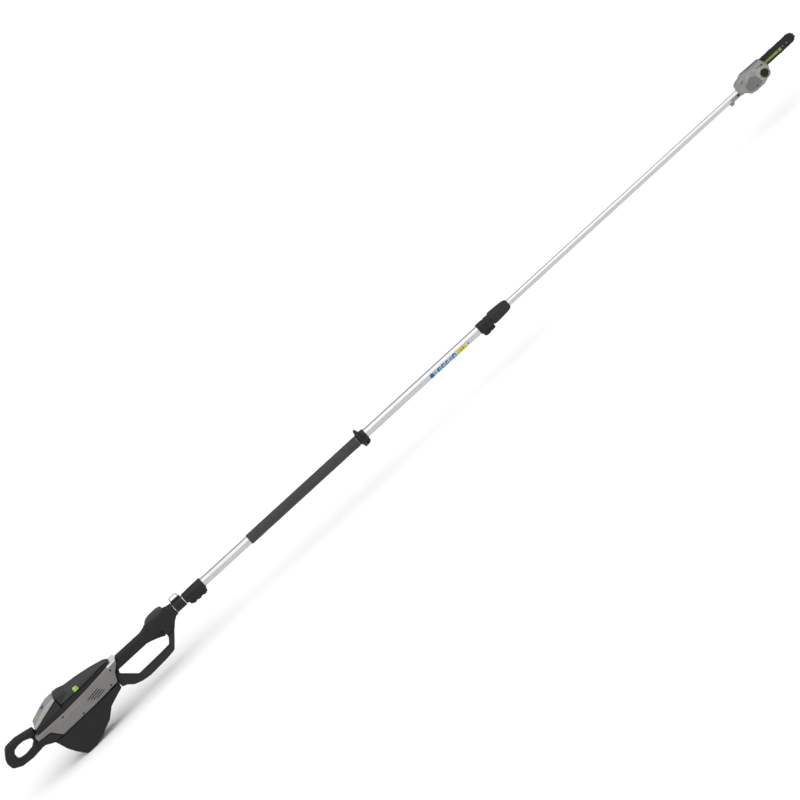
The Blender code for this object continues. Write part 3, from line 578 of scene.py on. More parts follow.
BEAD = [(-748, -13, 1.4), (-602, -7.2, 1.4), (-602, -3.6, 1.4), (-748, -9.4, 1.4)]
VENTS = [(-578, -18, 53), (-571, -25, 53), (-563, -32, 50), (-556, -39, 44)]    # x, z, length
VENT_SLOPE = 0.15
VENT_HALF_WIDTH = 1.7
VENT_RECESS = [(-600, -43, 5), (-615, -14, 5), (-543, -8, 5), (-516, -38, 6)]
COLLAR_FRONT = -644.0           # the cover is glossy behind this
HOUSING_SCREWS = [(-470, 2), (-505, -42), (-650, -48), (-715, -5)]                # x, z
GRIP_SCREWS = [(-268, 14), (-200, -38), (-400, -3)]
HOUSING_NOSE_SHARE = 0.78       # of the full width, at the taper's end
COVER_NOSE_SHARE = 0.5
COVER_TAPER_END = -450.0


def housing():
    taper = narrowing(TAPER_START, TAPER_END, HOUSING_NOSE_SHARE)
    for side, sign in SIDES.items():
        cuts = [slab(drawn_in(HOUSING, WALL), one_side(sign, -5, HALF_WIDTH - WALL, 8, 6), taper, 4),
                block(-683, -501, -7 * sign, 37 * sign, -12, 60),
                rod(-470, -420, 12)]
        cuts.append(slab(VENT_RECESS, [((HALF_WIDTH - 1.4) * sign, 1.5), ((HALF_WIDTH + 3) * sign, -1)]))
        for x, z, length in VENTS:
            rear, front = x - length / 2, x + length / 2
            rise = VENT_SLOPE * length / 2
            vent = [(rear, z - rise - VENT_HALF_WIDTH, 1), (front, z + rise - VENT_HALF_WIDTH, 1),
                    (front, z + rise + VENT_HALF_WIDTH, 1), (rear, z - rise + VENT_HALF_WIDTH, 1)]
            cuts.append(slab(vent, [(36 * sign, 0), (60 * sign, 0)], steps=3))
        for x, z in HOUSING_SCREWS:
            ends = sorted((sign * (HALF_WIDTH * taper(x) - 2.6), sign * (HALF_WIDTH + 5)))
            cuts.append(rod(*ends, 4.2, (x, 0, z), "Y"))
        cuts.append(slab(BEAD, sorted([((HALF_WIDTH - 0.8) * sign, 0), ((HALF_WIDTH + 3) * sign, 0)]), taper))
        shell = piece(f"motor_housing_{side}",
                      slab(HOUSING, one_side(sign, 0.15, HALF_WIDTH, 7, 6), taper), GREY, "power_unit",
                      [f"housing_{side}"], cuts)
        # Faces of the front nose that face upwards get the near-white painted highlight
        second_look(shell, NOSE_PAINTED_HIGHLIGHT, lambda spot, facing: spot.x > -472 and spot.z > 10 and facing.z > 0.3)
        # Bead along the housing's side; its lighter grey is a painted highlight
        bead = one_side(sign, HALF_WIDTH - 1.4, HALF_WIDTH - 0.1, 0.5, 0.4)
        piece(f"housing_bead_{side}", slab(drawn_in(BEAD, 0.15), bead, taper, 3), BEAD_PAINTED_HIGHLIGHT, "power_unit")
        screws = merged([screw_shape(x, sign * (HALF_WIDTH * taper(x) - 2.4), z, 3.4, sign)
                         for x, z in HOUSING_SCREWS])
        piece(f"housing_screws_{side}", screws, DARK_STEEL, "power_unit")


def cover():
    taper = narrowing(TAPER_START, COVER_TAPER_END, COVER_NOSE_SHARE)
    lid = drawn_in(COVER, WALL)
    inside = [(-687, 20, 0), (-487, 20, 0)] + lid[3:]
    pocket = drawn_in(BUTTON, -0.5)
    shell = piece("top_shell", slab(COVER, edge_layers(-46, 46, 12, 4.2), taper), CHARCOAL, "power_unit",
                  ["top_cover"],
                  [slab(inside, edge_layers(-42, 42, 10, 4, 3), taper, 3),
                   slab(pocket, [(-60, 0), (-30, 0)])])
    second_look(shell, GLOSS_BLACK, lambda spot, facing: spot.x < COLLAR_FRONT)
    piece("release_key", slab(BUTTON, edge_layers(-49, -36, 2.2, 2.2, 5, (True, False))), LIME,
          "battery_button", ["release_button"])
    tip = edge_layers(-49.3, -47.6, 0.8, 0.6, 3, (True, False))
    piece("release_key_tip", slab(box_corners(BUTTON_X - 7, BUTTON_X - 1, 47.5, 51.5, 1.6), tip), PALE,
          "battery_button")


def rear_loop():
    layers = edge_layers(-20, 20, 8, 6)
    hole = [(y * 1.04, -1.1 * inset) for y, inset in layers]
    root = slab(LOOP_ROOT, edge_layers(-49, 49, 4, 3.4), steps=4)
    piece("carry_loop", slab(LOOP, layers), BLACK, "power_unit", ["rear_loop"],
          [slab(LOOP_HOLE, hole)], [root])


def foot():
    inner = drawn_in(FOOT, WALL)
    mouth = [(-495, -50, 0), (-790, -50, 0)]
    across = [(-41.2, 0), (41.2, 0)]
    ribs = [slab([(x, -82, 1), (x + 3, -81, 1), (x + 9, -62, 1), (x + 6, -62, 1)], across, steps=3)
            for x in (-512, -504, -496)]
    piece("ground_fin", slab(FOOT, edge_layers(-42, 42, 9, 6)), SCUFFED, "power_unit",
          ["ground_foot"], [slab(inner[:-3] + mouth, edge_layers(-39, 39, 6, 4, 3), steps=3)], ribs)


def grip():
    for side, sign in SIDES.items():
        cuts = [slab(GRIP_CAVITY, one_side(sign, -3, 15, 3, 3), steps=3),
                rod(-470, -150, 11),
                rod(-161, -130, OUTER_RADIUS + 0.2, sides=64),
                block(-268.5, -174, -3 * sign, 15.5 * sign, 18, 40),
                block(-313, -235.2, -3 * sign, 8.4 * sign, -40, -15.5)]
        for x, z in GRIP_SCREWS:
            ends = sorted((sign * (GRIP_HALF_WIDTH - 2.6), sign * (GRIP_HALF_WIDTH + 5)))
            cuts.append(rod(*ends, 3.4, (x, 0, z), "Y"))
        piece(f"handle_shell_{side}", slab(GRIP, one_side(sign, 0.15, GRIP_HALF_WIDTH, 9, 5.5)), BLACK,
              "power_unit", [f"grip_{side}"], cuts)
        screws = merged([screw_shape(x, sign * (GRIP_HALF_WIDTH - 2.2), z, 2.7, sign)
                         for x, z in GRIP_SCREWS])
        piece(f"handle_screws_{side}", screws, DARK_STEEL, "power_unit")
    piece("guard_bow", slab(GUARD, edge_layers(-15, 15, 8, 5.2)), SOFT_BLACK, "power_unit",
          ["hand_guard"])


def triggers():
    piece("trigger_blade_shell", slab(TRIGGER, edge_layers(-7.8, 7.8, 3, 2)), BLACK, "trigger_blade",
          ["trigger"])
    grooves = [block(x, x + 2, -10, 10, 44, 49) for x in (-238, -231, -224, -217, -210)]
    piece("thumb_lever_shell", slab(LEVER, edge_layers(-14.8, 14.8, 5, 4)), CHARCOAL, "thumb_lever",
          ["lock_off_lever"], grooves)


def battery():
    ribs = [block(x, x + 2.4, *sorted((side * 40.3, side * 44)), 14, 60)
            for x in (-795, -770, -745, -720) for side in (-1, 1)]
    piece("battery_body", slab(BATTERY_CASE, edge_layers(-41.5, 41.5, 4, 3)), GLOSS_BLACK, "battery_pack",
          ["battery_case"], ribs)
    piece("battery_top", slab(BATTERY_LID, edge_layers(-42, 42, 9, 4.4)), SILVER, "battery_pack",
          ["battery_lid"])


rear_sections = (housing, cover, rear_loop, foot, grip, triggers, battery)


# ---------------------------------------------------------------- pole

PRINT_SIDE = 70                 # degrees round the tube, from straight down towards the right side
OVERPRINT = OUTER_RADIUS + 0.12     # radius of print laid on other print


def tube_shape(x0, x1, outer, bore):
    """A tube with its ends deburred."""
    burr = 0.4
    return turned([(x0, bore), (x0, outer - burr), (x0 + burr, outer), (x1 - burr, outer), (x1, outer - burr),
                   (x1, bore)], sides=96)


def print_patch(radius, along, around, length, width, corner):
    """Thin printed patch on a tube: a rounded rectangle bent round it, its middle at around degrees."""
    bm = bmesh.new()
    columns = 24
    rings = []
    for k in range(columns + 1):
        across = width * (k / columns - 0.5) * 0.999
        into = max(0, abs(across) - (width / 2 - corner))
        half = length / 2 - corner + math.sqrt(max(corner * corner - into * into, 0)) + 1e-3
        angle = math.radians(around) + across / radius
        away = Vector((0, -math.sin(angle), -math.cos(angle)))
        rings.append([bm.verts.new(Vector((along + x, 0, 0)) + away * (radius + lift))
                      for x, lift in ((-half, 0.02), (-half, 0.1), (half, 0.1), (half, 0.02))])
    capped(bm, rings)
    return bm


def pole():
    piece("pole_tube_outer", tube_shape(-160, 1404, OUTER_RADIUS, OUTER_BORE), TUBE, "power_unit",
          ["outer_tube"])
    piece("pole_tube_inner", tube_shape(1250, 2712, INNER_RADIUS, INNER_BORE), TUBE, "saw_pole",
          ["inner_tube"])
    # Each patch: place along the tube, length, width, corner radius.
    blue = [print_patch(OUTER_RADIUS, x, PRINT_SIDE, *size)
            for x, *size in ((1142, 19, 22, 9), (1160, 12, 12, 5), (1177, 17, 19, 6), (1197, 18, 20, 7),
                             (1216, 14, 17, 5), (1234, 13, 14, 5), (1252, 19, 21, 8))]
    piece("pole_print_blue", merged(blue), BLUE_PRINT, "power_unit")
    pale = [print_patch(OVERPRINT, x, PRINT_SIDE, *size)
            for x, *size in ((1161, 7, 6, 2.8), (1179, 3, 12, 1.4), (1196, 3, 11, 1.4), (1201, 3, 11, 1.4),
                             (1217, 7, 7, 3), (1234, 3, 9, 1.4), (1253, 9, 8, 3.5))]
    piece("pole_print_pale", merged(pale), PALE_BLUE_PRINT, "power_unit")
    yellow = [print_patch(OUTER_RADIUS, 1290, PRINT_SIDE, 42, 19, 3),
              print_patch(OUTER_RADIUS, 1270, 58, 12, 9, 3)]
    piece("pole_print_yellow", merged(yellow), YELLOW_PRINT, "power_unit")
    marks = [print_patch(OVERPRINT, 1285 + 11 * k, PRINT_SIDE, 4, 9, 1.9) for k in range(2)]
    marks.append(print_patch(OUTER_RADIUS, 1321, 72, 5, 9, 2))
    piece("pole_print_dark", merged(marks), DARK_PRINT, "power_unit")


def grips_on_pole():
    clamp = turned([(-141.5, TUBE_FIT), (-141.5, 21), (-140.6, 21.8), (-121, 21.8), (-120.4, 21.2),
                    (-118.6, 21.2), (-118, 21.8), (-98, 21.8), (-97, 21), (-97, TUBE_FIT)])
    lug = slab(box_corners(-141, -97.5, 17.9, 27, 1.4), edge_layers(-7, 7, 1.4, 1.2, 3), steps=4)
    piece("harness_clamp", clamp, BLACK, "power_unit", ["harness_bracket"],
          [rod(22, 40, 3, (x, 0, 0), "Z") for x in (-136.5, -102)] + [rod(-150, -90, TUBE_FIT, sides=64)],
          [lug])
    arch = rounded([(-136.5, 22.6, 0), (-136.5, 42.5, 9), (-102, 42.5, 9), (-102, 22.6, 0)], 14)
    piece("harness_ring", wire([Vector((p.x, 0, p.y)) for p in arch], 2.4), STEEL, "power_unit",
          ["harness_loop"])

    sleeve = turned([(-94, TUBE_FIT), (-94, 19), (-93.2, 19.6), (-90, 21), (-60, 22.3), (-30, 22.8), (-4, 23),
                     (-2, 22.4), (-1, 21), (-1, TUBE_FIT)])
    lobes = [(-88, -12, 2), (-84, -30, 8), (-68, -37, 9), (-58, -33, 6), (-46, -38, 9), (-33, -33.5, 6),
             (-20, -38, 9), (-6, -32, 8), (-3, -12, 2)]
    piece("socket_sleeve", sleeve, BLACK, "power_unit", ["front_socket"],
          [rod(-100, 5, TUBE_FIT, sides=64), rod(-20, 20, 3, (-45, 0, -27), "Y"),
           rod(-14, -8.4, 5, (-45, 0, -27), "Y")],
          [slab(lobes, edge_layers(-13, 13, 4, 3.2), steps=5)])

    def unevenness(along, ring, angle):
        if ring < 19:
            return 0
        return 0.18 * math.sin(along * 0.21 + 2 * angle) * math.sin(along * 0.047) - 0.18
    steps = 90
    skin = [(235 + (772 - 235) * k / steps, 21) for k in range(steps + 1)]
    outline = ([(232, TUBE_FIT), (232, 19.5), (232.9, 20.5)] + skin +
               [(774.1, 20.5), (775, 19.5), (775, TUBE_FIT)])
    made = piece("foam_sleeve", turned(outline, ripple=unevenness), FOAM, "power_unit",
                 ["foam_grip"], crease=60)

    flange = turned([(776, TUBE_FIT), (776, 20), (777, 21), (781, 24), (784, 35.4), (785.2, 37.6),
                     (787, 38.8), (789.5, 39), (792, 38.6), (794, 37.2), (795, 35), (798, 25), (802, 23),
                     (813, 22), (815, 21), (816, 20), (816, TUBE_FIT)])
    ear = slab([(791, -12, 1), (791, -34, 3), (795, -38, 3), (808, -36, 5), (815, -28, 5), (815, -12, 1)],
               edge_layers(-9, 9, 2.6, 2.2), steps=5)
    piece("hand_stop_flange", flange, BLACK, "power_unit", ["hand_stop"],
          [rod(770, 820, TUBE_FIT, sides=64)], [ear])


def pole_lock():
    collar = turned([(1382, TUBE_FIT), (1382, 20), (1383, 21.2), (1386, 22), (1411, 22), (1412.4, 21.4),
                     (1413, 20.5), (1419, 20.5), (1419.6, 21.4), (1421, 22), (1442, 22), (1443, 21.2),
                     (1443, TUBE_FIT)])
    lugs = slab([(1387, -12, 1), (1387, -32, 5), (1396, -37, 5), (1413, -37, 4), (1416, -33, 3),
                 (1421, -36, 4), (1438, -34, 5), (1441, -12, 1)], edge_layers(-9, 9, 3, 2.8), steps=5)
    piece("lock_collar_body", collar, BLACK, "power_unit", ["lock_collar"],
          [rod(1370, 1450, TUBE_FIT, sides=64), rod(-20, 20, 2.8, (1402, 0, -28), "Y")], [lugs])

    flutes = 16

    def fluted(along, ring, angle):
        reach = min(max((along - 1449) / 5, 0), 1) * min(max((1512 - along) / 8, 0), 1)
        return -1.1 * reach * max(0, math.cos(flutes * angle)) ** 2 if ring > 19 else 0
    steps = 14
    grip_band = [(1449 + 63 * k / steps, 26 - 0.9 * (k / steps) - 2.6 * (k / steps) ** 2)
                 for k in range(steps + 1)]
    nut = ([(1443.6, 20), (1443.6, 24), (1444.6, 25.2), (1447, 25.9)] + grip_band +
           [(1518, 21.5), (1524, 19.2), (1527, 17.5), (1529, 15), (1530, 13.6), (1530, 13.2), (1478, 13.2),
            (1462, 17.9), (1450, 18.2)])
    piece("twist_nut_shell", turned(nut, sides=192, ripple=fluted), SOFT_BLACK, "twist_nut",
          ["lock_nut"])


pole_sections = (pole, grips_on_pole, pole_lock)


# ---------------------------------------------------------------- saw head

CASE = [(2683, 12, 6), (2686, 29, 12), (2700, 37, 16), (2729, 43, 20), (2773, 39, 24), (2822, 40, 6),
        (2831, 20, 10), (2832, 2, 8), (2818, -13, 10), (2798, -29, 12), (2780, -36, 12), (2736, -36, 14),
        (2716, -31, 10), (2706, -18, 6), (2698, -12, 6), (2683, -12, 6)]
BAR_COVER = [(2708, 14, 10), (2714, 34, 18), (2735, 42, 16), (2822, 39.5, 6), (2828, 20, 10),
             (2826, -2, 8), (2806, -22, 14), (2770, -30, 14), (2736, -30, 14), (2716, -18, 14)]
CAP = (CAP_X, 0, CAP_Z)
STUD = (STUD_X, 0, BAR_Z)
CLAMP = (2676, 0, -3.5)
SLEEVE_RADIUS = 16.2
HEAD_FACE = -32.0               # right face of the head cover
WINDOW_RADIUS = 20.6            # tinted ring round the oil cap
PANEL_DEPTH = 0.9


def face_rib(outline, height, steps):
    """Rib with that outline, raised from the head cover's face."""
    return slab(outline, edge_layers(HEAD_FACE - height, HEAD_FACE + 1.2, 0.6, 0.5, 3, (True, False)),
                steps=steps)


def ridge(x0, z0, x1, z1, width, height):
    """Raised rib on the head cover's face between two points, tapering to its far end."""
    along = Vector((x1 - x0, z1 - z0)).normalized()
    across = Vector((-along.y, along.x)) * width / 2
    tip = across * 0.6
    corners = [(x0 + across.x, z0 + across.y, 0.8), (x0 - across.x, z0 - across.y, 0.8),
               (x1 - tip.x, z1 - tip.y, 0.6), (x1 + tip.x, z1 + tip.y, 0.6)]
    return face_rib(corners, height, 3)


def arc_ridge(radius, start, stop, width, height):
    """Raised rib on the head cover's face, bent round the oil cap between two angles in degrees."""
    def arc(reach, turns):
        return [(CAP_X + reach * math.cos(a), CAP_Z + reach * math.sin(a), 0) for a in turns]
    angles = [math.radians(start + (stop - start) * k / 18) for k in range(19)]
    outline = arc(radius + width / 2, angles) + arc(radius - width / 2, reversed(angles))
    return face_rib(outline, height, 1)


def head_shells():
    sleeve = turned([(2642, 11.6), (2642, 15.4), (2642.8, SLEEVE_RADIUS), (2704, SLEEVE_RADIUS),
                     (2704, 11.6)], sides=64)
    lug = slab([(2630, -10, 2), (2632, -24, 3), (2645, -24, 3), (2656, -10, 2)],
               edge_layers(-6, 6, 1.6, 1.4, 3), steps=4)
    pad = block(2774, 2812, 8, BAR_Y - BAR_HALF_THICKNESS - 0.1, 8, 27.4)
    case = slab(CASE, edge_layers(-4.6, 10.4, 0.7, 0.7, 2))
    piece("gear_case_body", case, HEAD_GREY, "saw_pole", ["gear_case"],
          [rod(2620, 2713, INNER_RADIUS + 0.3, sides=64),
           block(2620, 2682.5, -20, 20, 3, 40),
           slab(box_corners(2715, 2768, -24, 34, 8), [(-10, 0), (8.9, 0)]),
           rod(2705, 2725, 6),
           rod(-20, -11, 5.4, CLAMP, "Y"),
           rod(6, 12, 6.4, (SPROCKET_X, 0, BAR_Z), "Y"),
           rod(2770, 2840, 2.6, (0, 2.3, 3.2)),
           block(2776, 2792, 2, 14, 1.2, 7),
           rod(-10, 20, 3.3, STUD, "Y")],
          [sleeve, lug, pad])
    panel = [(2714, 8, 4), (2744, 25, 5), (2766, 15, 6), (2780, -4, 8), (2780, -20, 6), (2764, -27, 6),
             (2730, -27, 8), (2713, -16, 6)]
    front = [(2777, 36, 3), (2789, 30, 3), (2817, 24, 4), (2817, 33, 4)]
    rear = [(2694, 19, 3), (2716, 17, 4), (2742, 32, 4), (2730, 36, 4), (2702, 31, 5)]
    cuts = [slab(drawn_in(CASE, WALL), [(-28.5, 4.5), (-22.5, 0), (-4, 0)], steps=4),
            rod(2620, 2720, 17, sides=64),
            rod(-40, -20, 16, CAP, "Y", 64),
            rod(-40, HEAD_FACE + 1.8, WINDOW_RADIUS, CAP, "Y", 64)]
    for outline, depth in ((panel, PANEL_DEPTH), (front, 2.2), (rear, 1.2)):
        cuts.append(slab(outline, [(-36, -1.2), (HEAD_FACE + depth, 0.6)], steps=4))
    shell = piece("head_shell", slab(CASE, edge_layers(HEAD_FACE, -5, 9, 7, 6, (True, False))), HEAD_GREY,
                  "saw_pole", ["head_cover"], cuts)
    second_look(shell, PANEL_GREY, lambda spot, facing: abs(spot.y - HEAD_FACE - PANEL_DEPTH) < 0.15)
    ribs = [ridge(2751, 29, 2724, 13, 2.6, 0.9), ridge(2784, 29, 2768, 34, 2.6, 1.1),
            ridge(2784, 29, 2803, 22.5, 2.6, 1.1), ridge(2784, 29, 2773, 14, 2.4, 1.1),
            ridge(2760, 34, 2724, 34, 2.4, 0.9),
            ridge(2745, 31, 2712, 19, 2.0, 0.8), arc_ridge(26.2, 98, 212, 2.4, 1.0),
            arc_ridge(31.5, 112, 176, 1.8, 0.9)]
    collar = turned([(HEAD_FACE - 1, WINDOW_RADIUS + 0.3), (HEAD_FACE - 1, WINDOW_RADIUS + 1),
                     (HEAD_FACE - 0.3, WINDOW_RADIUS + 2.2), (HEAD_FACE + 1.4, WINDOW_RADIUS + 2.4),
                     (HEAD_FACE + 1.4, WINDOW_RADIUS + 0.3)], CAP, "Y", 96)
    # Ribs and the collar round the oil window take the lighter grey: painted highlight
    piece("head_ribs", merged(ribs + [collar]), RIB_PAINTED_HIGHLIGHT, "saw_pole")
    window = turned([(HEAD_FACE + 1.7, 16.2), (HEAD_FACE + 0.2, 16.2), (HEAD_FACE - 0.2, 16.8),
                     (HEAD_FACE - 0.2, WINDOW_RADIUS - 1), (HEAD_FACE + 0.4, WINDOW_RADIUS - 0.2),
                     (HEAD_FACE + 1.7, WINDOW_RADIUS - 0.2)], CAP, "Y", 96)
    piece("tank_window", window, TANK, "saw_pole")
    screws = merged([screw_shape(x, HEAD_FACE - 0.4, z, 2.6, -1)
                     for x, z in ((2714, 28), (2752, -20), (2812, 29))])
    piece("head_screws", screws, DARK_STEEL, "saw_pole")

    through = [(30, 0), (40, 0)]
    slots = [slab([(x, -14, 1.2), (x + 3, -14, 1.2), (x + 9, 8, 1.2), (x + 6, 8, 1.2)], through, steps=3)
             for x in (2734, 2743, 2752, 2761)]
    piece("clutch_cover_shell", slab(BAR_COVER, edge_layers(17.8, 36, 8, 6, 6, (False, True))), HEAD_GREY,
          "saw_pole", ["bar_cover"],
          [slab(drawn_in(BAR_COVER, WALL), [(16, 0), (28.5, 0), (33, 2.5)], steps=4),
           rod(27, 43, 9, STUD, "Y", 48)] + slots)


def track(distance, offset):
    """Point (x, z) on the chain's closed path: offset outwards from the bar's rail."""
    straight = NOSE_X - SPROCKET_X
    radius = BAR_HALF_HEIGHT
    arc = math.pi * radius
    distance %= 2 * (straight + arc)
    if distance < straight:
        return Vector((SPROCKET_X + distance, BAR_Z + radius + offset))
    if distance < straight + arc:
        angle = math.pi / 2 - (distance - straight) / radius
        return Vector((NOSE_X, BAR_Z)) + (radius + offset) * Vector((math.cos(angle), math.sin(angle)))
    if distance < 2 * straight + arc:
        return Vector((NOSE_X - (distance - straight - arc), BAR_Z - radius - offset))
    angle = -math.pi / 2 - (distance - 2 * straight - arc) / radius
    return Vector((SPROCKET_X, BAR_Z)) + (radius + offset) * Vector((math.cos(angle), math.sin(angle)))


# Link outlines: (share of the way from rivet to rivet, height above the rivets' line in mm).
TIE = [(-0.25, -1.2), (-0.15, 1.1), (0.3, 1.3), (0.5, 0.7), (0.7, 1.3), (1.15, 1.1), (1.25, -1.2)]
DRIVE = [(-0.25, -2.1), (-0.15, 1.2), (0.5, 1.6), (1.15, 1.2), (1.25, -2.1)]
CUTTER = [(-0.3, -1.2), (-0.28, 2), (-0.1, 2.5), (0.1, 2.3), (0.25, 0.9), (0.5, 0.8), (0.62, 3.2),
          (1.28, 2.8), (1.3, -1.2)]
RIVET_LINE = 2.2                # rivets above the rail
PLATES = {"right": (BAR_Y - 3.1, BAR_Y - 1.7), "left": (BAR_Y + 1.7, BAR_Y + 3.1)}
DRIVE_PLATE = (BAR_Y - 1.2, BAR_Y + 1.2)


def link_shape(outline, behind, ahead, faces):
    chord = ahead - behind
    normal = Vector((-chord.y, chord.x)).normalized()
    corners = []
    for share, height in outline:
        point = behind + chord * share + normal * height
        corners.append((point.x, point.y, 0.25))
    return slab(corners, edge_layers(*faces, 0.2, 0.15, 1), steps=2)


def chain():
    length = 2 * (NOSE_X - SPROCKET_X + math.pi * BAR_HALF_HEIGHT)
    pitch = length / CHAIN_RIVETS
    rivets = [track(k * pitch, RIVET_LINE) for k in range(CHAIN_RIVETS)]
    links = []
    for k, behind in enumerate(rivets):
        ahead = rivets[(k + 1) % CHAIN_RIVETS]
        if k % 2:
            links.append(link_shape(DRIVE, behind, ahead, DRIVE_PLATE))
            continue
        cutting = {0: "right", 4: "left"}.get(k % 8)
        for side, faces in PLATES.items():
            links.append(link_shape(CUTTER if side == cutting else TIE, behind, ahead, faces))
    for spot in rivets:
        links.append(turned([(-3.25, 0), (-3.25, 0.8), (-3.0, 1.15), (3.0, 1.15), (3.25, 0.8), (3.25, 0)],
                            (spot.x, BAR_Y, spot.y), "Y", 12))
    piece("chain_links", merged(links), DARK_STEEL, "saw_pole", ["saw_chain"])


def bar():
    edge = BAR_HALF_HEIGHT + 0.1
    outline = [(2780, BAR_Z - 11, 6), (STUD_X, BAR_Z - edge, 20), (NOSE_X + edge, BAR_Z - edge, edge),
               (NOSE_X + edge, BAR_Z + edge, edge), (STUD_X, BAR_Z + edge, 20), (2780, BAR_Z + 11, 6)]
    near, far = BAR_Y - BAR_HALF_THICKNESS, BAR_Y + BAR_HALF_THICKNESS
    piece("saw_bar", slab(outline, edge_layers(near, far, 0.25, 0.3, 2), steps=16), BAR_PAINT, "saw_pole",
          ["guide_bar"],
          [rod(5, 24, 3.6, STUD, "Y"), rod(5, 24, 2.4, (2786, 0, BAR_Z - 7), "Y"),
           block(NOSE_X, NOSE_X + 30, BAR_Y - 1, BAR_Y + 1, BAR_Z - 14, BAR_Z + 14)])
    film = [(near - 0.12, 0), (near - 0.02, 0)]
    stripes = [slab(box_corners(2834, 2897, 7, 16, 1.5), film), slab(box_corners(2900, 2913, 5, 17, 2), film)]
    piece("bar_print", merged(stripes), LIME_PRINT, "saw_pole")

    def heads(spots, radius, rise, flat, rim, sides):
        """Rivet heads on the bar's right face, flat to that share of their radius."""
        outline = [(near - rise, 0), (near - rise, radius * flat), (near - rim, radius), (near + 0.1, radius),
                   (near + 0.1, 0)]
        return merged([turned(outline, (x, 0, z), "Y", sides) for x, z in spots])
    pair = [(2923, 13), (2941, 13.6)]
    piece("bar_rivets", heads(pair, 1.7, 0.4, 0.7, 0.15, 24), STEEL, "saw_pole")
    ring = [(NOSE_X + 6 * math.cos(math.tau * k / 4), BAR_Z + 6 * math.sin(math.tau * k / 4))
            for k in range(4)]
    piece("nose_rivets", heads(ring, 1.2, 0.2, 0.8, 0, 20), DARK_STEEL, "saw_pole")


def oil_cap():
    def knurl(along, ring, angle):
        return -0.5 * max(0, math.cos(24 * angle)) if ring > 13.4 and along < -29.5 else 0
    knob = turned([(-35.4, 0), (-35.4, 10.6), (-35.8, 12), (-35.6, 13), (-34.9, 13.8), (-33, 14.3),
                   (-29.6, 14.5), (-28, 14.5), (-27.6, 14.1), (-27.6, 8), (-20, 8), (-20, 0)],
                  CAP, "Y", 144, knurl)
    bar_grip = slab(box_corners(CAP_X - 10.5, CAP_X + 10.5, CAP_Z - 2, CAP_Z + 2, 2),
                    edge_layers(-36.5, -34, 1, 0.8, 3, (True, False)), steps=4)
    piece("oil_cap_knob", knob, BLACK, "tank_cap", ["oil_cap"], joins=[bar_grip])


def battery_marks():
    """Charge gauge and a plain badge, laid on the battery's sloping top."""
    def on_top(x0, x1, z0, z1, y0, y1, rise=0.5):
        return slab([(x0, z0 - 1, 0.3), (x1, z1 - 1, 0.3), (x1, z1 + rise, 0.3), (x0, z0 + rise, 0.3)],
                    edge_layers(y0, y1, 0.4, 0.3, 2), steps=3)
    piece("charge_gauge", on_top(-758, -744, 60.6, 64.4, -12, 12), GLOSS_BLACK, "battery_pack")
    piece("battery_badge", on_top(-797, -785, 45.2, 49.8, -9, 9), LIME, "battery_pack")


def clamp_screw():
    socket = rod(-20, -13.6, 2.4, CLAMP, "Y", 6)
    head = turned([(-15.6, 0), (-15.6, 4.5), (-15.1, 5), (-12.9, 5), (-12.9, 0)], CLAMP, "Y", 48)
    piece("clamp_screw", head, DARK_STEEL, "saw_pole", ["clamp_bolt"], [socket])


head_sections = (head_shells, chain, bar, oil_cap, battery_marks, clamp_screw)


# ---------------------------------------------------------------- CAD nodes that stay

KEPT = {
    STEEL: ("motor_rotor", "rear_bearing", "front_bearing", "drive_tube", "inner_shaft", "nose_sprocket",
            "bar_stud", "bar_nut", "bevel_pinion", "countershaft", "bevel_gear", "spur_pinion",
            "sprocket_spindle", "spur_gear", "drive_sprocket"),
    DARK_STEEL: ("socket_bolt", "lock_collar_bolt", "tension_screw", "oil_pump", "trigger_switch"),
    BLACK: ("battery_dock", "terminal_block", "cooling_fan", "guide_bush", "drive_tube_bush", "lock_collet"),
    TUBE: ("motor_bracket", "bearing_plate"),
    COPPER: ("motor_stator",),
    BOARD: ("controller_board",),
    TANK: ("oil_tank",),
}


def dress_kept_nodes():
    for look, names in KEPT.items():
        for name in names:
            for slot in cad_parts[name].material_slots:
                slot.material = look


# ---------------------------------------------------------------- studio

VIEW_CENTRE = TO_WORLD @ Vector((993, 0, 5.2))
VIEW_WIDTH = 2.96               # metres across the picture
VIEW_RISE = math.radians(17)
POLE_SLOPE = math.radians(42.44)    # the pole's angle above the picture's horizontal
LENS = 200.0
SENSOR = 36.0
FLOOR_HEIGHT = -0.0005          # metres, just under the foot


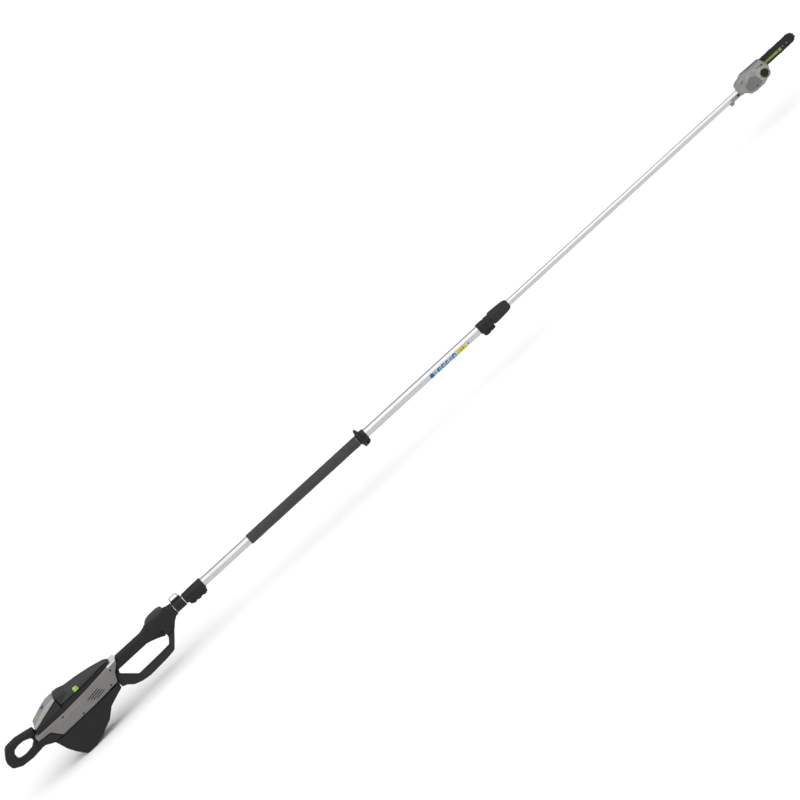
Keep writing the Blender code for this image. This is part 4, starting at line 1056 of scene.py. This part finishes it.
def camera():
    lens = bpy.data.cameras.new("camera")
    lens.lens = LENS
    lens.sensor_width = SENSOR
    lens.clip_end = 200
    distance = VIEW_WIDTH * LENS / SENSOR
    towards = Vector((0, math.cos(VIEW_RISE), -math.sin(VIEW_RISE)))
    level_right = Vector((1, 0, 0))
    level_up = Vector((0, math.sin(VIEW_RISE), math.cos(VIEW_RISE)))
    right = level_right * math.cos(POLE_SLOPE) - level_up * math.sin(POLE_SLOPE)
    up = level_right * math.sin(POLE_SLOPE) + level_up * math.cos(POLE_SLOPE)
    turn = Matrix((right, up, -towards)).transposed().to_4x4()
    made = placed("camera", lens)
    made.matrix_world = Matrix.Translation(VIEW_CENTRE - towards * distance) @ turn
    bpy.context.scene.camera = made


def lamp(name, kind, place, power):
    """A light at place that faces the origin."""
    light = bpy.data.lights.new(name, kind)
    light.energy = power
    made = placed(name, light)
    made.location = place
    made.rotation_euler = (-Vector(place)).to_track_quat("-Z", "Y").to_euler()
    return light


def studio():
    bm = bmesh.new()
    reach = 60
    corners = [bm.verts.new((x * reach, y * reach, FLOOR_HEIGHT))
               for x, y in ((-1, -1), (1, -1), (1, 1), (-1, 1))]
    bm.faces.new(corners)
    mesh = bpy.data.meshes.new("floor")
    bm.to_mesh(mesh)
    bm.free()
    floor = placed("floor", mesh)
    made, tree, shader = nodes_of("floor_paint", (0.93, 0.93, 0.93), 0.8)
    tree.links.new(two_tone(tree, noise(tree, 0.5), (0.925, 0.925, 0.925), (0.935, 0.935, 0.935)),
                   shader.inputs["Base Color"])
    floor.data.materials.append(made)

    world = bpy.data.worlds.new("studio")
    world.use_nodes = True
    tree = world.node_tree
    back = tree.nodes["Background"]
    direction = split_axes(tree, "Generated")
    # Brighter overhead than at the horizon, and dimmer behind the object than in front of it.
    overhead = ranged(tree, direction["Z"], 0.3, 0.95, 0.0, 0.6)
    in_front = ranged(tree, direction["Y"], 1.0, 0.5, -0.1, 0.35)
    tree.links.new(product(tree, overhead, in_front), back.inputs["Strength"])
    back.inputs["Color"].default_value = (1, 1, 1, 1)
    bpy.context.scene.world = world
    bpy.context.scene.view_settings.view_transform = "Standard"
    key = lamp("key", "SUN", (-1.0, -2.6, 5.0), 1.62)
    key.angle = math.radians(110)
    top = lamp("top", "AREA", (1.0, -0.6, 5.0), 22)
    top.shape = "RECTANGLE"
    top.size, top.size_y = 6, 1.6


camera()
for section in rear_sections + pole_sections + head_sections:
    section()
dress_kept_nodes()
studio()
